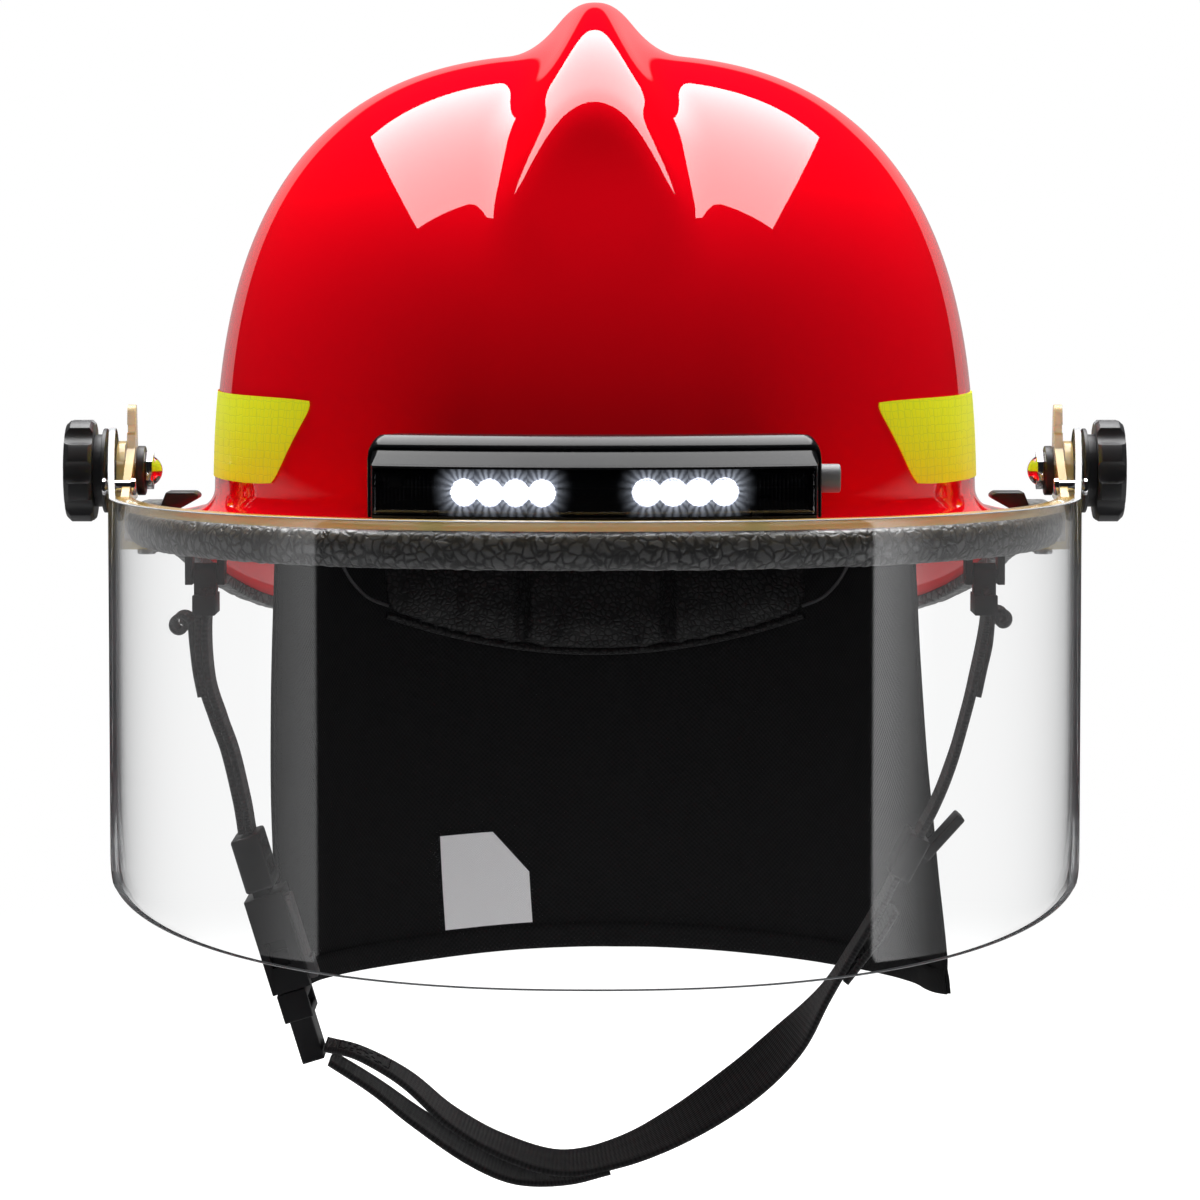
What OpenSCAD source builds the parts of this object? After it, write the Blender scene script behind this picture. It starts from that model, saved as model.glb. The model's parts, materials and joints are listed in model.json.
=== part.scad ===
// A fire helmet: composite shell with a crest, face shield on a hoop, front lamp,
// chin strap, neck curtain and head suspension.
// The front faces -Y, +Z is up, and the origin is the centre of the head opening
// at the level of the brim. All sizes are in millimetres.

/* [Shell] */
// Half width of the dome above the brim
dome_half_w = 116; // [113:0.5:119]
// Reach of the dome in front of the origin
dome_front = 134; // [130:0.5:137]
// Reach of the dome behind the origin
dome_rear = 142; // [138:0.5:150]
// Height of the dome above the origin
dome_h = 145.5; // [140:0.5:152]
// Wall thickness of the shell
shell_wall = 3; // [2.4:0.1:3.6]
// Height of the crest above the dome
crest_rise = 15.5; // [10:0.5:20]
// Half width of the crest near its top
crest_half_w = 11; // [8:0.5:14]
// How far the front panel stands forward of the dome at its foot
panel_foot = 6; // [4:0.5:8]
// Height of the front panel's upper corner
panel_apex_z = 128.5; // [122:0.5:134]
// How far in front of the origin the panel's upper corner lies
panel_apex_y = 90; // [86:1:94]
// Half width of the front panel at its foot
panel_half_w = 83; // [76:1:88]
// Rounding of the crest's shoulders
ridge_round = 4; // [3:0.5:8]
// Rounding of the ridges beside the front panel
panel_round = 12; // [8:0.5:16]
// Rounding of the valleys beside the ridges
valley_round = 10; // [8:0.5:16]

/* [Brim] */
// Width of the brim at the sides, from the dome to the red edge
brim_side = 23.5; // [22:0.5:26]
// Width of the brim at the front
brim_front = 37; // [34:0.5:40]
// Width of the brim at the rear
brim_rear = 40; // [34:0.5:46]
// How far the rear brim drops below the front one
brim_drop = 36; // [28:1:42]
// Height of the brim's top face at the front edge
brim_top_z = 5.1; // [4:0.1:7]
// Height of the rubber edge trim
trim_h = 10.8; // [9:0.1:12]
// How far the trim stands out beyond the red edge
trim_out = 2.5; // [2:0.1:4]
// How far the trim reaches in over the brim
trim_cover = 7; // [6:0.5:8]

/* [Visor] */
// Height of the visor's pivots
pivot_z = 19; // [18:0.5:22]
// How far in front of the origin the pivots lie
pivot_y = 15; // [10:1:20]
// Thickness of the clear lens
lens_t = 2; // [1.5:0.1:2.5]
// Gap between the trim and the lens
lens_gap = 3.6; // [3.4:0.1:5]
// How far the lens hangs below the origin at the front
lens_drop = 118; // [90:1:120]
// Thickness of the hoop's flat bar
hoop_h = 2.8; // [2:0.1:4]
// Width of the hoop's flat bar
hoop_w = 5; // [4:0.5:6]
// Thickness of the hoop's arms and of the fixed brackets
arm_t = 2.5; // [2:0.1:3]
// Diameter of the pivot bolts
bolt_d = 6; // [5:0.5:7]
// Diameter of the friction knobs
knob_d = 31.4; // [28:0.2:34]
// Depth of the friction knobs
knob_h = 8.5; // [7:0.5:10]

/* [Lamp] */
// Half width of the lamp housing
lamp_half_w = 66.7; // [64:0.1:68]
// Height of the lamp housing
lamp_h = 23; // [22.5:0.5:25]
// Depth of the lamp housing at its middle
lamp_depth = 22; // [21.5:0.1:22.5]
// Spacing of the diodes
led_pitch = 7.4; // [7:0.1:8]
// Number of diodes in each of the two groups
led_count = 4; // [2:1:4]

/* [Suspension] */
// Thickness of the foam liner
liner_t = 18; // [14:0.5:20]
// Gap between the headband and the liner at the sides
headband_gap_side = 9.8; // [9:0.2:14]
// Gap between the headband and the liner at the front
headband_gap_front = 8.8; // [8.4:0.2:13]
// Height of the headband's strip
headband_h = 26; // [22:1:30]
// Width of the suspension webbing
web_w = 19; // [17:0.5:20]

/* [Chin strap] */
// Width of the chin strap's webbing
strap_w = 19; // [17:0.5:20]
// Thickness of the chin strap's webbing
strap_t = 2; // [1.6:0.1:2.2]

/* [Neck curtain] */
// How far the curtain hangs below the origin
curtain_drop = 150; // [130:1:160]
// Thickness of the cloth
curtain_t = 1.2; // [1:0.1:1.6]

/* [Hidden] */
$fn = 48;

// Running clearance of a shaft in its hole, and the gap kept between neighbours
run_gap = 0.06;
seat_gap = 0.3;

// Exponents of the rounded outlines: 2 is an ellipse, more is fuller
dome_plan_n = 2.2;
dome_side_n = 2.75;
dome_front_n = 2.1;
dome_rear_n = 2.3;
brim_n = 2.3;
crest_n = 2;

// Crest and front panel
crest_h = dome_h + crest_rise;
crest_shoulder = 5.5;
crest_soft = 0.04;
crest_front = dome_front + 14;
crest_rear = dome_rear + 2;
crest_bow = dome_half_w + 2;
panel_foot_y = dome_front + panel_foot;
panel_foot_z = 20;
panel_bow = 135;
ridge_foot_z = 37;
ridge_foot_y = 0.88 * dome_front;
flank_turn = 0.15;
far_away = 400;
panel_run = panel_foot_y - panel_apex_y;
panel_climb = panel_apex_z - panel_foot_z;
panel_len = sqrt(panel_run * panel_run + panel_climb * panel_climb);
panel_ny = panel_climb / panel_len;
panel_nz = panel_run / panel_len;
panel_off = panel_ny * panel_foot_y + panel_nz * panel_foot_z;
flank_rise = crest_h - crest_shoulder - ridge_foot_z;
flank_s = (panel_half_w + flank_turn * ridge_foot_y - crest_half_w) / flank_rise;
flank_c = crest_half_w + flank_s * (crest_h - crest_shoulder);

// Rings of the shell: how many points go round it, and how many rings go up it
shell_n = 72;
shell_rings = 18;
root_fillet = 7;
root_rise = 2;

// Brim and trim
edge_a = dome_half_w + brim_side;
edge_f = dome_front + brim_front;
edge_r = dome_rear + brim_rear;
drop_start = 10;
drop_run = 150;
trim_lip = 0.2;
trim_mid_z = brim_top_z - shell_wall / 2;
trim_top_z = trim_mid_z + trim_h / 2;
trim_low_z = trim_mid_z - trim_h / 2;
trim_x = edge_a + trim_out;

// Visor, from the trim outwards
hoop_z = trim_top_z + seat_gap + 0.1;
lens_a = trim_x + lens_gap;
lens_f = edge_f + trim_out + lens_gap;
lens_r = edge_r + trim_out + lens_gap;
stack_gap = 0.4;
bracket_out = lens_a - 0.95;
bracket_in = bracket_out - arm_t;
arm_out = bracket_in - stack_gap;
arm_in = arm_out - arm_t;
washer_t = 2.5;
washer_in = arm_in - washer_t - seat_gap;
nut_in = washer_in - 4.8;
ear_out = lens_a + lens_t;
hub_in = ear_out + seat_gap;
hub_t = 3.8;
knob_in = hub_in + hub_t;
knob_out = knob_in + knob_h;
bracket_r = 9;
ear_r = 13;
rivet_y = pivot_y + 19;
rivet_z = pivot_z - 4;
rivet_d = 4;
rivet_head_d = 5.2;
bar_rear_y = pivot_y + 12.5;

// Lamp
lamp_r = 150;
lamp_front_y = edge_f - 4;
lamp_cy = lamp_r - lamp_front_y;
lamp_z = trim_top_z + 2.7;
lamp_back_r = 156;
lamp_back_y = lamp_front_y - lamp_depth;
lamp_lens_t = 2;
lamp_face_h = 14.5;
lamp_inner_r = lamp_r - 34;
lamp_top_r = lamp_r - 5.5;
board_r = lamp_r - 7.6;
cell_d = 10.5;
cell_l = 44.5;
cell_turn = 12;
cell_r = board_r - cell_d / 2 - 2;
led_gap_x = 14.7;
led_z = lamp_z + 7.5;
button_d = 8;

// Suspension
clip_z = 9;
clip_h = 11;
clip_w = 26;
liner_gap = 1.2;
liner_low_z = clip_z + clip_h + 0.2;
headband_z = 4;
headband_t = 2;
headband_n = 2.1;
crown_t = 1.5;
liner_in_x = dome_half_w - shell_wall - liner_gap - liner_t;
liner_in_f = dome_front - shell_wall - liner_gap - liner_t;
liner_in_r = dome_rear - shell_wall - liner_gap - liner_t;
liner_in_h = dome_h - shell_wall - liner_gap - liner_t;
crown_gap = 5;
headband_half_w = liner_in_x - headband_gap_side;
headband_half_l = liner_in_f - headband_gap_front;

// Nape adjuster
nape_y = headband_half_l + 6;
nape_z = -24;
pinion_r = 5;
rack_teeth = 14;
rack_l = 62;
rack_h = 7;
rack_t = 2.4;
tooth_pitch = 2 * PI * pinion_r / 10;
notch_r = 1.1;

// Chin strap: the swing axis runs through both hangers
hanger_x = dome_half_w + 3;
hang_y = 8;
hang_z = -13;
pin_d = 3;

// The routes of the webbing are drawn for hangers 119 from the middle, and spread with them
route_hanger_x = 119;
function spread(route) = [for (p = route) [p[0] * hanger_x / route_hanger_x, p[1]]];

left_route = spread([
  [-119, -17], [-121, -28], [-120, -45], [-116.5, -57], [-113, -67], [-109.5, -82], [-107.8, -92]
]);
web_route = spread([
  [-83, -158], [-72, -161], [-58, -169], [-44, -181], [-28, -190], [-10, -195],
  [8, -191.5], [26, -183], [44, -171], [59, -157.5], [71, -142], [80, -127.5],
  [88, -114], [96, -99], [104, -84], [109.5, -70], [114, -54], [117.5, -38], [119.5, -26], [119, -17]
]);
web_twist = [0, 0, 4, 8, 10, 12, 16, 26, 34, 28, 4, 0, 0, 0, 0, 0, 0, 0, 0, 0];
under_route = spread([
  [-81.4, -162.4], [-68, -171], [-54, -181.5], [-38, -192], [-24, -197.6], [-9, -197.6], [4, -194.1]
]);
under_twist = [0, 2, 6, 9, 11, 12, 15];
return_route = spread([[92.1, -115.9], [87.3, -124.2], [82.5, -130.3], [76.7, -137.8]]);
adjuster_step = 13;

// Neck curtain
curtain_front_y = 24;
curtain_top_z = -3;
curtain_x = dome_half_w - 16;
curtain_rear_y = dome_rear - 12;
curtain_flare = 7;
curtain_sway = 6;
curtain_n = 2.5;
curtain_plan_f = 60;
hook_strip_h = 10;
curtain_cols = 40;
curtain_rows = 7;
fold_depth = 3.2;
fold_count = 4.5;

// Hanging ring at the rear
ring_r = 13;
ring_hole_r = 9.5;
ring_t = 3;
ring_y = edge_r - 16;

function smax(a, b, k) = let (h = max(k - abs(a - b), 0) / k) max(a, b) + h * h * k / 4;
function smin(a, b, k) = -smax(-a, -b, k);
function smooth(t) = let (u = min(max(t, 0), 1)) u * u * (3 - 2 * u);

// Radius of a rounded oval outline in the direction az, counted from +X
function oval_r(az, a, f, r, n) =
  let (c = abs(cos(az)) / a, s = abs(sin(az)) / (sin(az) < 0 ? f : r))
  pow(pow(c, n) + pow(s, n), -1 / n);

// The oval as points, with the ends of the list meeting
function oval(a, f, r, n, count = 96) =
  [for (i = [0:count - 1]) let (az = 360 * i / count, q = oval_r(az, a, f, r, n)) [q * cos(az), q * sin(az)]];

// Half width of an oval at the place y
function oval_x(y, a, f, r, n) = a * pow(max(1 - pow(abs(y) / (y < 0 ? f : r), n), 0), 1 / n);

// Distance from the origin to the plain dome, then to the crest and panel
function dome_r(az, el) =
  let (
    plan = oval_r(az, dome_half_w, dome_front, dome_rear, dome_plan_n),
    end_n = sin(az) < 0 ? dome_front_n : dome_rear_n,
    n = dome_side_n + (end_n - dome_side_n) * pow(sin(az), 2)
  )
  pow(pow(cos(el) / plan, n) + pow(max(sin(el), 0) / dome_h, n), -1 / n);

function crest_r(az, el) =
  let (
    x = abs(cos(el) * cos(az)),
    y = cos(el) * sin(az),
    z = max(sin(el), 0),
    reach = y < 0 ? crest_front : crest_rear,
    sum = pow(abs(y) / reach, crest_n) + pow(z / crest_h, crest_n) + pow(x / crest_bow, crest_n),
    top = pow(sum, -1 / crest_n),
    flank = flank_c / (sqrt(x * x + crest_soft * crest_soft) + flank_s * z + flank_turn * max(-y, 0)),
    facing = max(-panel_ny * y + panel_nz * z, 0.001),
    panel = pow(pow(facing / panel_off, 2.2) + pow(x / panel_bow, 2.2), -1 / 2.2)
  )
  smin(smin(top, min(flank, far_away), ridge_round), min(panel, far_away), panel_round);

function shell_r(az, el) = smax(dome_r(az, el), crest_r(az, el), valley_round);

// Height of the brim's top face at the place y
function brim_z(y) = brim_top_z - brim_drop * smooth((y - drop_start) / drop_run);

// Elevation at which the dome ends above the brim
function base_el(az) =
  let (q = oval_r(az, dome_half_w, dome_front, dome_rear, dome_plan_n))
  atan((brim_z(q * sin(az)) + root_fillet + root_rise) / q);

function ring_el(az, t) = 90 - (90 - base_el(az)) * pow(t, 1.3);

function polar(az, q, z) = [q * cos(az), q * sin(az), z];

function dome_point(az, el, off) = let (q = shell_r(az, el) + off) polar(az, q * cos(el), q * sin(el));

// Section of the shell from the foot of the dome out over the brim and back
function brim_section(az) =
  let (
    el = base_el(az),
    q = shell_r(az, el),
    foot = q * cos(el),
    foot_z = q * sin(el),
    edge = oval_r(az, edge_a, edge_f, edge_r, brim_n),
    ez = brim_z(edge * sin(az)),
    f = root_fillet
  )
  [
    [foot + f * (1 - cos(35)), foot_z - f * sin(35)],
    [foot + f, foot_z - f],
    [edge - trim_cover - 1, ez],
    [edge, ez],
    [edge, ez - shell_wall],
    [edge - trim_cover - 1, ez - shell_wall],
    [foot + f - 1, foot_z - f - shell_wall],
    [foot - 0.2 * shell_wall, foot_z - 0.6 * f - shell_wall]
  ];

// A solid from rings of points, closed at both ends by a point
module loft(rings, first, last) {
  n = len(rings[0]);
  m = len(rings);
  points = concat([first], [for (r = rings) each r], [last]);
  sides = [
    for (k = [0:m - 2], i = [0:n - 1])
      let (a = 1 + k * n + i, b = 1 + k * n + (i + 1) % n)
      each [[a, b, b + n], [a, b + n, a + n]]
  ];
  top = [for (i = [0:n - 1]) [0, 1 + (i + 1) % n, 1 + i]];
  end = 1 + (m - 1) * n;
  bottom = [for (i = [0:n - 1]) [end + n, end + i, end + (i + 1) % n]];
  polyhedron(points, concat(top, sides, bottom), convexity = 8);
}

// A solid from rings of points that close on themselves
module ring_loft(rings) {
  n = len(rings[0]);
  m = len(rings);
  faces = [
    for (k = [0:m - 1], i = [0:n - 1])
      let (a = k * n + i, b = k * n + (i + 1) % n, c = ((k + 1) % m) * n + i, d = ((k + 1) % m) * n + (i + 1) % n)
      each [[a, b, d], [a, d, c]]
  ];
  polyhedron([for (r = rings) each r], faces, convexity = 8);
}

function middle(ring) = [for (j = [0:2]) let (s = [for (p = ring) p[j]]) s * [for (p = ring) 1] / len(ring)];

// A smooth curve through route points, with a few points between each pair
function spline(p, steps) = [
  for (i = [0:len(p) - 2], j = [0:steps - 1])
    let (
      t = j / steps,
      a = i == 0 ? 2 * p[0] - p[1] : p[i - 1],
      b = p[i],
      c = p[i + 1],
      d = i + 2 < len(p) ? p[i + 2] : 2 * p[i + 1] - p[i]
    )
    0.5 * (2 * b + (c - a) * t + (2 * a - 5 * b + 4 * c - d) * t * t + (3 * b - a - 3 * c + d) * t * t * t),
  p[len(p) - 1]
];

function heading(p, i) =
  let (a = p[max(i - 1, 0)], b = p[min(i + 1, len(p) - 1)], d = b - a) d / norm(d);

// Corners of the webbing at each point of a route in the plane of the strap
function web_rings(p, twist, w, t) = [
  for (i = [0:len(p) - 1])
    let (
      h = heading(p, i),
      n = [-h[1], h[0]],
      s = sin(twist[i]),
      c = cos(twist[i])
    )
    [
      for (k = [[1, 1], [1, -1], [-1, -1], [-1, 1]])
        let (across = k[0] * w / 2, up = k[1] * t / 2, q = across * s + up * c)
        [p[i][0] + n[0] * q, -hang_y + across * c - up * s, p[i][1] + n[1] * q]
    ]
];

module webbing(route, twist, w = strap_w, t = strap_t, steps = 3) {
  p = spline(route, steps);
  angle = [for (a = spline([for (v = twist) [v, 0]], steps)) a[0]];
  rings = web_rings(p, angle, w, t);
  loft(rings, middle(rings[0]), middle(rings[len(rings) - 1]));
}

// A drawing in the plane of y and z, made a solid between two places along x
module across_x(x0, x1) {
  translate([x0, 0, 0]) rotate([90, 0, 90]) linear_extrude(x1 - x0) children();
}

// A drawing in the plane of x and z, made a solid between two places along y
module along_y(y0, y1) {
  translate([0, y1, 0]) rotate([90, 0, 0]) linear_extrude(y1 - y0) children();
}

module both_sides(side) {
  if (side > 0) children();
  else mirror([1, 0, 0]) children();
}

module rod_x(x0, x1, d, y, z) {
  translate([x0, y, z]) rotate([0, 90, 0]) cylinder(h = x1 - x0, d = d);
}

module shell() color("crimson") {
  azs = [for (i = [0:shell_n - 1]) 360 * i / shell_n];
  outer = [for (k = [1:shell_rings]) [for (az = azs) dome_point(az, ring_el(az, k / shell_rings), 0)]];
  inner = [
    for (k = [shell_rings:-1:1])
      [for (az = azs) dome_point(az, ring_el(az, k / shell_rings), -shell_wall)]
  ];
  sections = [for (az = azs) brim_section(az)];
  brim = [for (j = [0:7]) [for (i = [0:shell_n - 1]) polar(azs[i], sections[i][j][0], sections[i][j][1])]];
  crown = shell_r(0, 90);
  loft(concat(outer, brim, inner), [0, 0, crown], [0, 0, crown - shell_wall]);
}

// Section of the trim, as distances out from the red edge and up from its middle
function trim_section() =
  let (h = trim_h / 2, s = shell_wall / 2 + trim_lip, o = trim_out)
  [
    [-trim_cover, h - 0.8], [-trim_cover + 1, h], [-1.2, h], [o - 1, h * 0.72], [o, h * 0.2],
    [o, -h * 0.2], [o - 1, -h * 0.72], [-1.2, -h], [-trim_cover + 1, -h], [-trim_cover, -h + 0.8],
    [-trim_cover, -s], [trim_lip, -s], [trim_lip, s], [-trim_cover, s]
  ];

module edge_trim() color("dimgray") {
  section = trim_section();
  ring_loft([
    for (i = [0:shell_n - 1])
      let (
        az = -360 * i / shell_n,
        edge = oval_r(az, edge_a, edge_f, edge_r, brim_n),
        z = brim_z(edge * sin(az)) - shell_wall / 2
      )
      [for (p = section) polar(az, edge + p[0], z + p[1])]
  ]);
}

patch_t = 0.4;
patch_gap = 0.45;
patch_high_z = 43.5;
patch_low_z = 17.8;
// Azimuth from the side, at the upper and lower corners in front and behind
patch_front = [51, 43];
patch_back = [-13, -5];

// The patches behind lie this far round from those in front
patch_step = 66;

function patch_point(u, v, turned, off) =
  let (
    from = patch_back[0] + (patch_back[1] - patch_back[0]) * v,
    to = patch_front[0] + (patch_front[1] - patch_front[0]) * v,
    az = turned - from - (to - from) * u,
    z = patch_high_z + (patch_low_z - patch_high_z) * v,
    plan = oval_r(az, dome_half_w, dome_front, dome_rear, dome_plan_n)
  )
  dome_point(az, atan(z / plan), off);

module patch(turned) {
  cols = 18;
  rows = 4;
  face = [for (j = [0:rows]) [for (i = [0:cols]) patch_point(i / cols, j / rows, turned, patch_gap + patch_t)]];
  back = [for (j = [0:rows]) [for (i = [0:cols]) patch_point(i / cols, j / rows, turned, patch_gap)]];
  sheet_solid(back, face);
}

module reflective_patches() color("yellowgreen") {
  for (turned = [0, patch_step]) {
    patch(turned);
    mirror([1, 0, 0]) patch(turned);
  }
}

liner_n = 48;
liner_rings = 9;

function liner_point(az, t, off) =
  let (
    plan = oval_r(az, dome_half_w, dome_front, dome_rear, dome_plan_n),
    el = 90 - (90 - atan(liner_low_z / plan)) * t,
    q = dome_r(az, el) + off
  )
  polar(az, q * cos(el), max(q * sin(el), liner_low_z));

function liner_ring(t, off) = [for (i = [0:liner_n - 1]) liner_point(360 * i / liner_n, t, off)];

module impact_liner() color("gray") {
  out = -shell_wall - liner_gap;
  outer = [for (k = [1:liner_rings]) liner_ring(k / liner_rings, out)];
  inner = [for (k = [liner_rings:-1:1]) liner_ring(k / liner_rings, out - liner_t)];
  crown = dome_h + out;
  loft(concat(outer, inner), [0, 0, crown], [0, 0, crown - liner_t]);
}

// Half of a rounded arch, from the foot on one side over the top to the other
function arch(a, b, h, n, foot) = [
  for (i = [0:48])
    let (
      t = 180 * i / 48,
      c = cos(t),
      s = sin(t),
      q = pow(pow(abs(c) / (c > 0 ? a : b), n) + pow(s / h, n), -1 / n)
    )
    [q * c, foot + q * s]
];

module crown_strap(a, b, h, n) {
  outer = arch(a, b, h, n, clip_z + clip_h - 3);
  inner = arch(a - crown_t, b - crown_t, h - crown_t, n, clip_z + clip_h - 3);
  polygon(concat(outer, [for (i = [48:-1:0]) inner[i]]));
}

crown_top = liner_in_h - crown_gap - clip_z - clip_h + 3;

module crown_strap_cross() color("dimgray") {
  a = liner_in_x - crown_gap;
  along_y(-web_w / 2, web_w / 2) crown_strap(a, a, crown_top, 2.4);
}

module crown_strap_long() color("dimgray") {
  across_x(-web_w / 2, web_w / 2)
    crown_strap(liner_in_r - crown_gap, liner_in_f - crown_gap, crown_top - crown_t - 0.5, 1.9);
}

// One clip reaches from the headband to the wall, and takes the end of a strap
module suspension_clip(az, strap_place) {
  from = oval_r(az, headband_half_w, headband_half_l, headband_half_l, headband_n) + 0.05;
  el = atan((clip_z + clip_h) / strap_place);
  reach = min(shell_r(az, el) * cos(el), shell_r(az, base_el(az)) * cos(base_el(az))) - shell_wall - seat_gap;
  rotate([0, 0, az]) difference() {
    union() {
      translate([from, -clip_w / 2, clip_z]) cube([reach - from - 1.2, clip_w, clip_h]);
      translate([from, -clip_w / 4, clip_z + 2]) cube([reach - from, clip_w / 2, 4]);
    }
    translate([strap_place - crown_t - 0.2, -web_w / 2 - 0.2, clip_z + clip_h - 3.2])
      cube([crown_t + 0.4, web_w + 0.4, 10]);
    translate([from + 4, -clip_w / 2 + 3, clip_z - 1]) cube([4, clip_w - 6, clip_h + 2]);
  }
}

module suspension_clips() color("black") {
  for (az = [0, 180]) suspension_clip(az, liner_in_x - crown_gap);
  suspension_clip(90, liner_in_r - crown_gap);
  suspension_clip(270, liner_in_f - crown_gap);
}

module band(a, l, t, low, high) {
  translate([0, 0, low]) linear_extrude(high - low) difference() {
    polygon(oval(a, l, l, headband_n));
    polygon(oval(a - t, l - t, l - t, headband_n));
  }
}

leg_x = 40;
leg_w = 10;
leg_y = 0.885 * headband_half_l;
plate_t = 2;
plate_y = nape_y - plate_t - 2.1;

module headband() color("black") {
  difference() {
    band(headband_half_w, headband_half_l, headband_t, headband_z, headband_z + headband_h);
    for (az = [60:12:120]) rotate([0, 0, az])
      translate([0, -2, headband_z + 8]) cube([headband_half_l + 10, 4, 10]);
  }
  // Two legs and a cross plate carry the nape adjuster
  for (side = [-1, 1]) translate([side * leg_x - leg_w / 2, 0, 0]) difference() {
    translate([0, leg_y, nape_z - 2]) cube([leg_w, plate_y - leg_y + plate_t, headband_z - nape_z + 12]);
    translate([-1, leg_y - 1, nape_z - 3]) cube([leg_w + 2, 2.3, headband_z - nape_z + 2]);
  }
  translate([-leg_x - leg_w / 2, plate_y, nape_z - 10]) cube([2 * leg_x + leg_w, plate_t, 20]);
}

pad_t = 6;
pad_hole_step = 24;
pad_hole_d = 2.5;

module brow_pad() color("saddlebrown") {
  a = headband_half_w - headband_t - seat_gap;
  l = headband_half_l - headband_t - seat_gap;
  difference() {
    intersection() {
      band(a, l, pad_t, headband_z - 3, headband_z + headband_h - 2);
      translate([-a, -l - 1, headband_z - 10]) cube([2 * a, 0.62 * l, 60]);
    }
    for (i = [-2:2])
      let (x = i * pad_hole_step)
        translate([x, pad_t / 2 - oval_x(x, l, a, a, headband_n), headband_z - 5])
          cylinder(h = 60, d = pad_hole_d);
  }
}

nape_half_w = 70;
nape_low = -46;
nape_rise = 14;
nape_top = -8;
nape_in_y = headband_half_l - 9;

// The pad behind the head is a crowned cushion with two sewn channels
function pad_crown(u, v) =
  pow(max(1 - pow(abs(2 * u - 1), 6), 0), 0.5) * pow(max(1 - pow(abs(2 * v - 1), 4), 0), 0.5);

function pad_channel(u) = min(1, 0.45 + 0.55 * min(abs(u - 0.33), abs(u - 0.67)) / 0.06);

function pad_point(u, v, face) =
  let (
    x = nape_half_w * (2 * u - 1),
    y = nape_in_y * sqrt(1 - pow(x / 125, 2)),
    low = nape_low + nape_rise * pow(x / nape_half_w, 2),
    z = nape_top + (low - nape_top) * v,
    puff = pad_crown(u, v)
  )
  [x, y + (face > 0 ? -0.3 - 3.4 * puff * pad_channel(u) : 0.3 + 1.6 * puff), z];

module nape_pad() color("black") {
  cols = 24;
  rows = 8;
  inner = [for (j = [0:rows]) [for (i = [0:cols]) pad_point(i / cols, j / rows, 1)]];
  outer = [for (j = [0:rows]) [for (i = [0:cols]) pad_point(i / cols, j / rows, -1)]];
  sheet_solid(inner, outer);
}

housing_w = 54;
housing_h = 30;
housing_t = 11;
rack_z = pinion_r + rack_h / 2 + 0.1;

module ratchet_housing() color("black") {
  translate([0, nape_y, nape_z]) difference() {
    translate([-housing_w / 2, -2, -housing_h / 2]) cube([housing_w, housing_t, housing_h]);
    // Guides for the two racks and the chamber of the pinion
    for (s = [-1, 1]) translate([-40, 2, s * rack_z - rack_h / 2 - 0.3])
      cube([80, rack_t + 0.6, rack_h + 0.6]);
    translate([0, 2, 0]) rotate([-90, 0, 0]) cylinder(h = rack_t + 0.6, r = pinion_r + 2);
    translate([0, 1, 0]) rotate([-90, 0, 0]) cylinder(h = 20, r = 3 + run_gap);
  }
}

module ratchet_knob() color("black") {
  translate([0, nape_y + housing_t - 2 + seat_gap, nape_z]) rotate([-90, 0, 0]) difference() {
    cylinder(h = 9, d = 26);
    for (i = [0:11]) rotate([0, 0, 30 * i + 15]) translate([14.4, 0, -1]) cylinder(h = 12, d = 4.5);
    translate([0, 0, 6.5]) cylinder(h = 5, d = 17);
  }
}

module ratchet_pinion() color("gray") {
  translate([0, nape_y, nape_z]) rotate([-90, 0, 0]) {
    translate([0, 0, 2.3]) linear_extrude(rack_t) difference() {
      circle(r = pinion_r + 0.5);
      for (i = [0:9]) rotate(36 * i) translate([pinion_r + 0.8, 0]) circle(r = notch_r, $fn = 16);
    }
    translate([0, 0, 1.3]) cylinder(h = housing_t - 3.35 + seat_gap, r = 3);
  }
}

// A toothed strip whose teeth face the pinion, shown for the upper side
module rack(side) {
  translate([-side * 9, nape_y + 2.3, nape_z + side * rack_z]) rotate([-90, 0, 0])
    linear_extrude(rack_t) difference() {
      translate([-rack_l / 2, -rack_h / 2]) square([rack_l, rack_h]);
      for (i = [-rack_teeth / 2:rack_teeth / 2 - 1])
        translate([side * 9 + i * tooth_pitch, side * rack_h / 2]) circle(r = notch_r, $fn = 16);
    }
}

module rack_left() color("gray") rack(1);

module rack_right() color("gray") rack(-1);

// The lens in side view: an ear round the pivot, a straight rear edge and a round corner
lens_corner = 52;
lens_slope = 5;

module lens_side() {
  rear = -pivot_y + 5;
  low_rear = -lens_drop + lens_slope + 10;
  polygon(concat(
    [[-lens_f - 20, hoop_z + hoop_h], [-rivet_y - 12, hoop_z + hoop_h]],
    [for (t = [130:-10:-20]) [-pivot_y + ear_r * cos(t), pivot_z + ear_r * sin(t)]],
    [[rear, -10]],
    [for (t = [0:10:90]) [rear - lens_corner * (1 - cos(t)), low_rear + lens_corner * (1 - sin(t))]],
    [[-lens_f - 20, -lens_drop]]
  ));
}

module lens_ring(inset, t) {
  difference() {
    polygon(oval(lens_a - inset + t, lens_f - inset + t, lens_r - inset + t, brim_n, 120));
    polygon(oval(lens_a - inset, lens_f - inset, lens_r - inset, brim_n, 120));
  }
}

module visor_lens() color("lightcyan", 0.3) {
  difference() {
    intersection() {
      translate([0, 0, -lens_drop - 5]) linear_extrude(lens_drop + 60) lens_ring(0, lens_t);
      across_x(-lens_a - 20, lens_a + 20) lens_side();
    }
    rod_x(-200, 200, bolt_d + 2 * run_gap, -pivot_y, pivot_z);
    rod_x(-far_away, far_away, rivet_d + 2 * run_gap, -rivet_y, rivet_z);
  }
}

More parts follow.
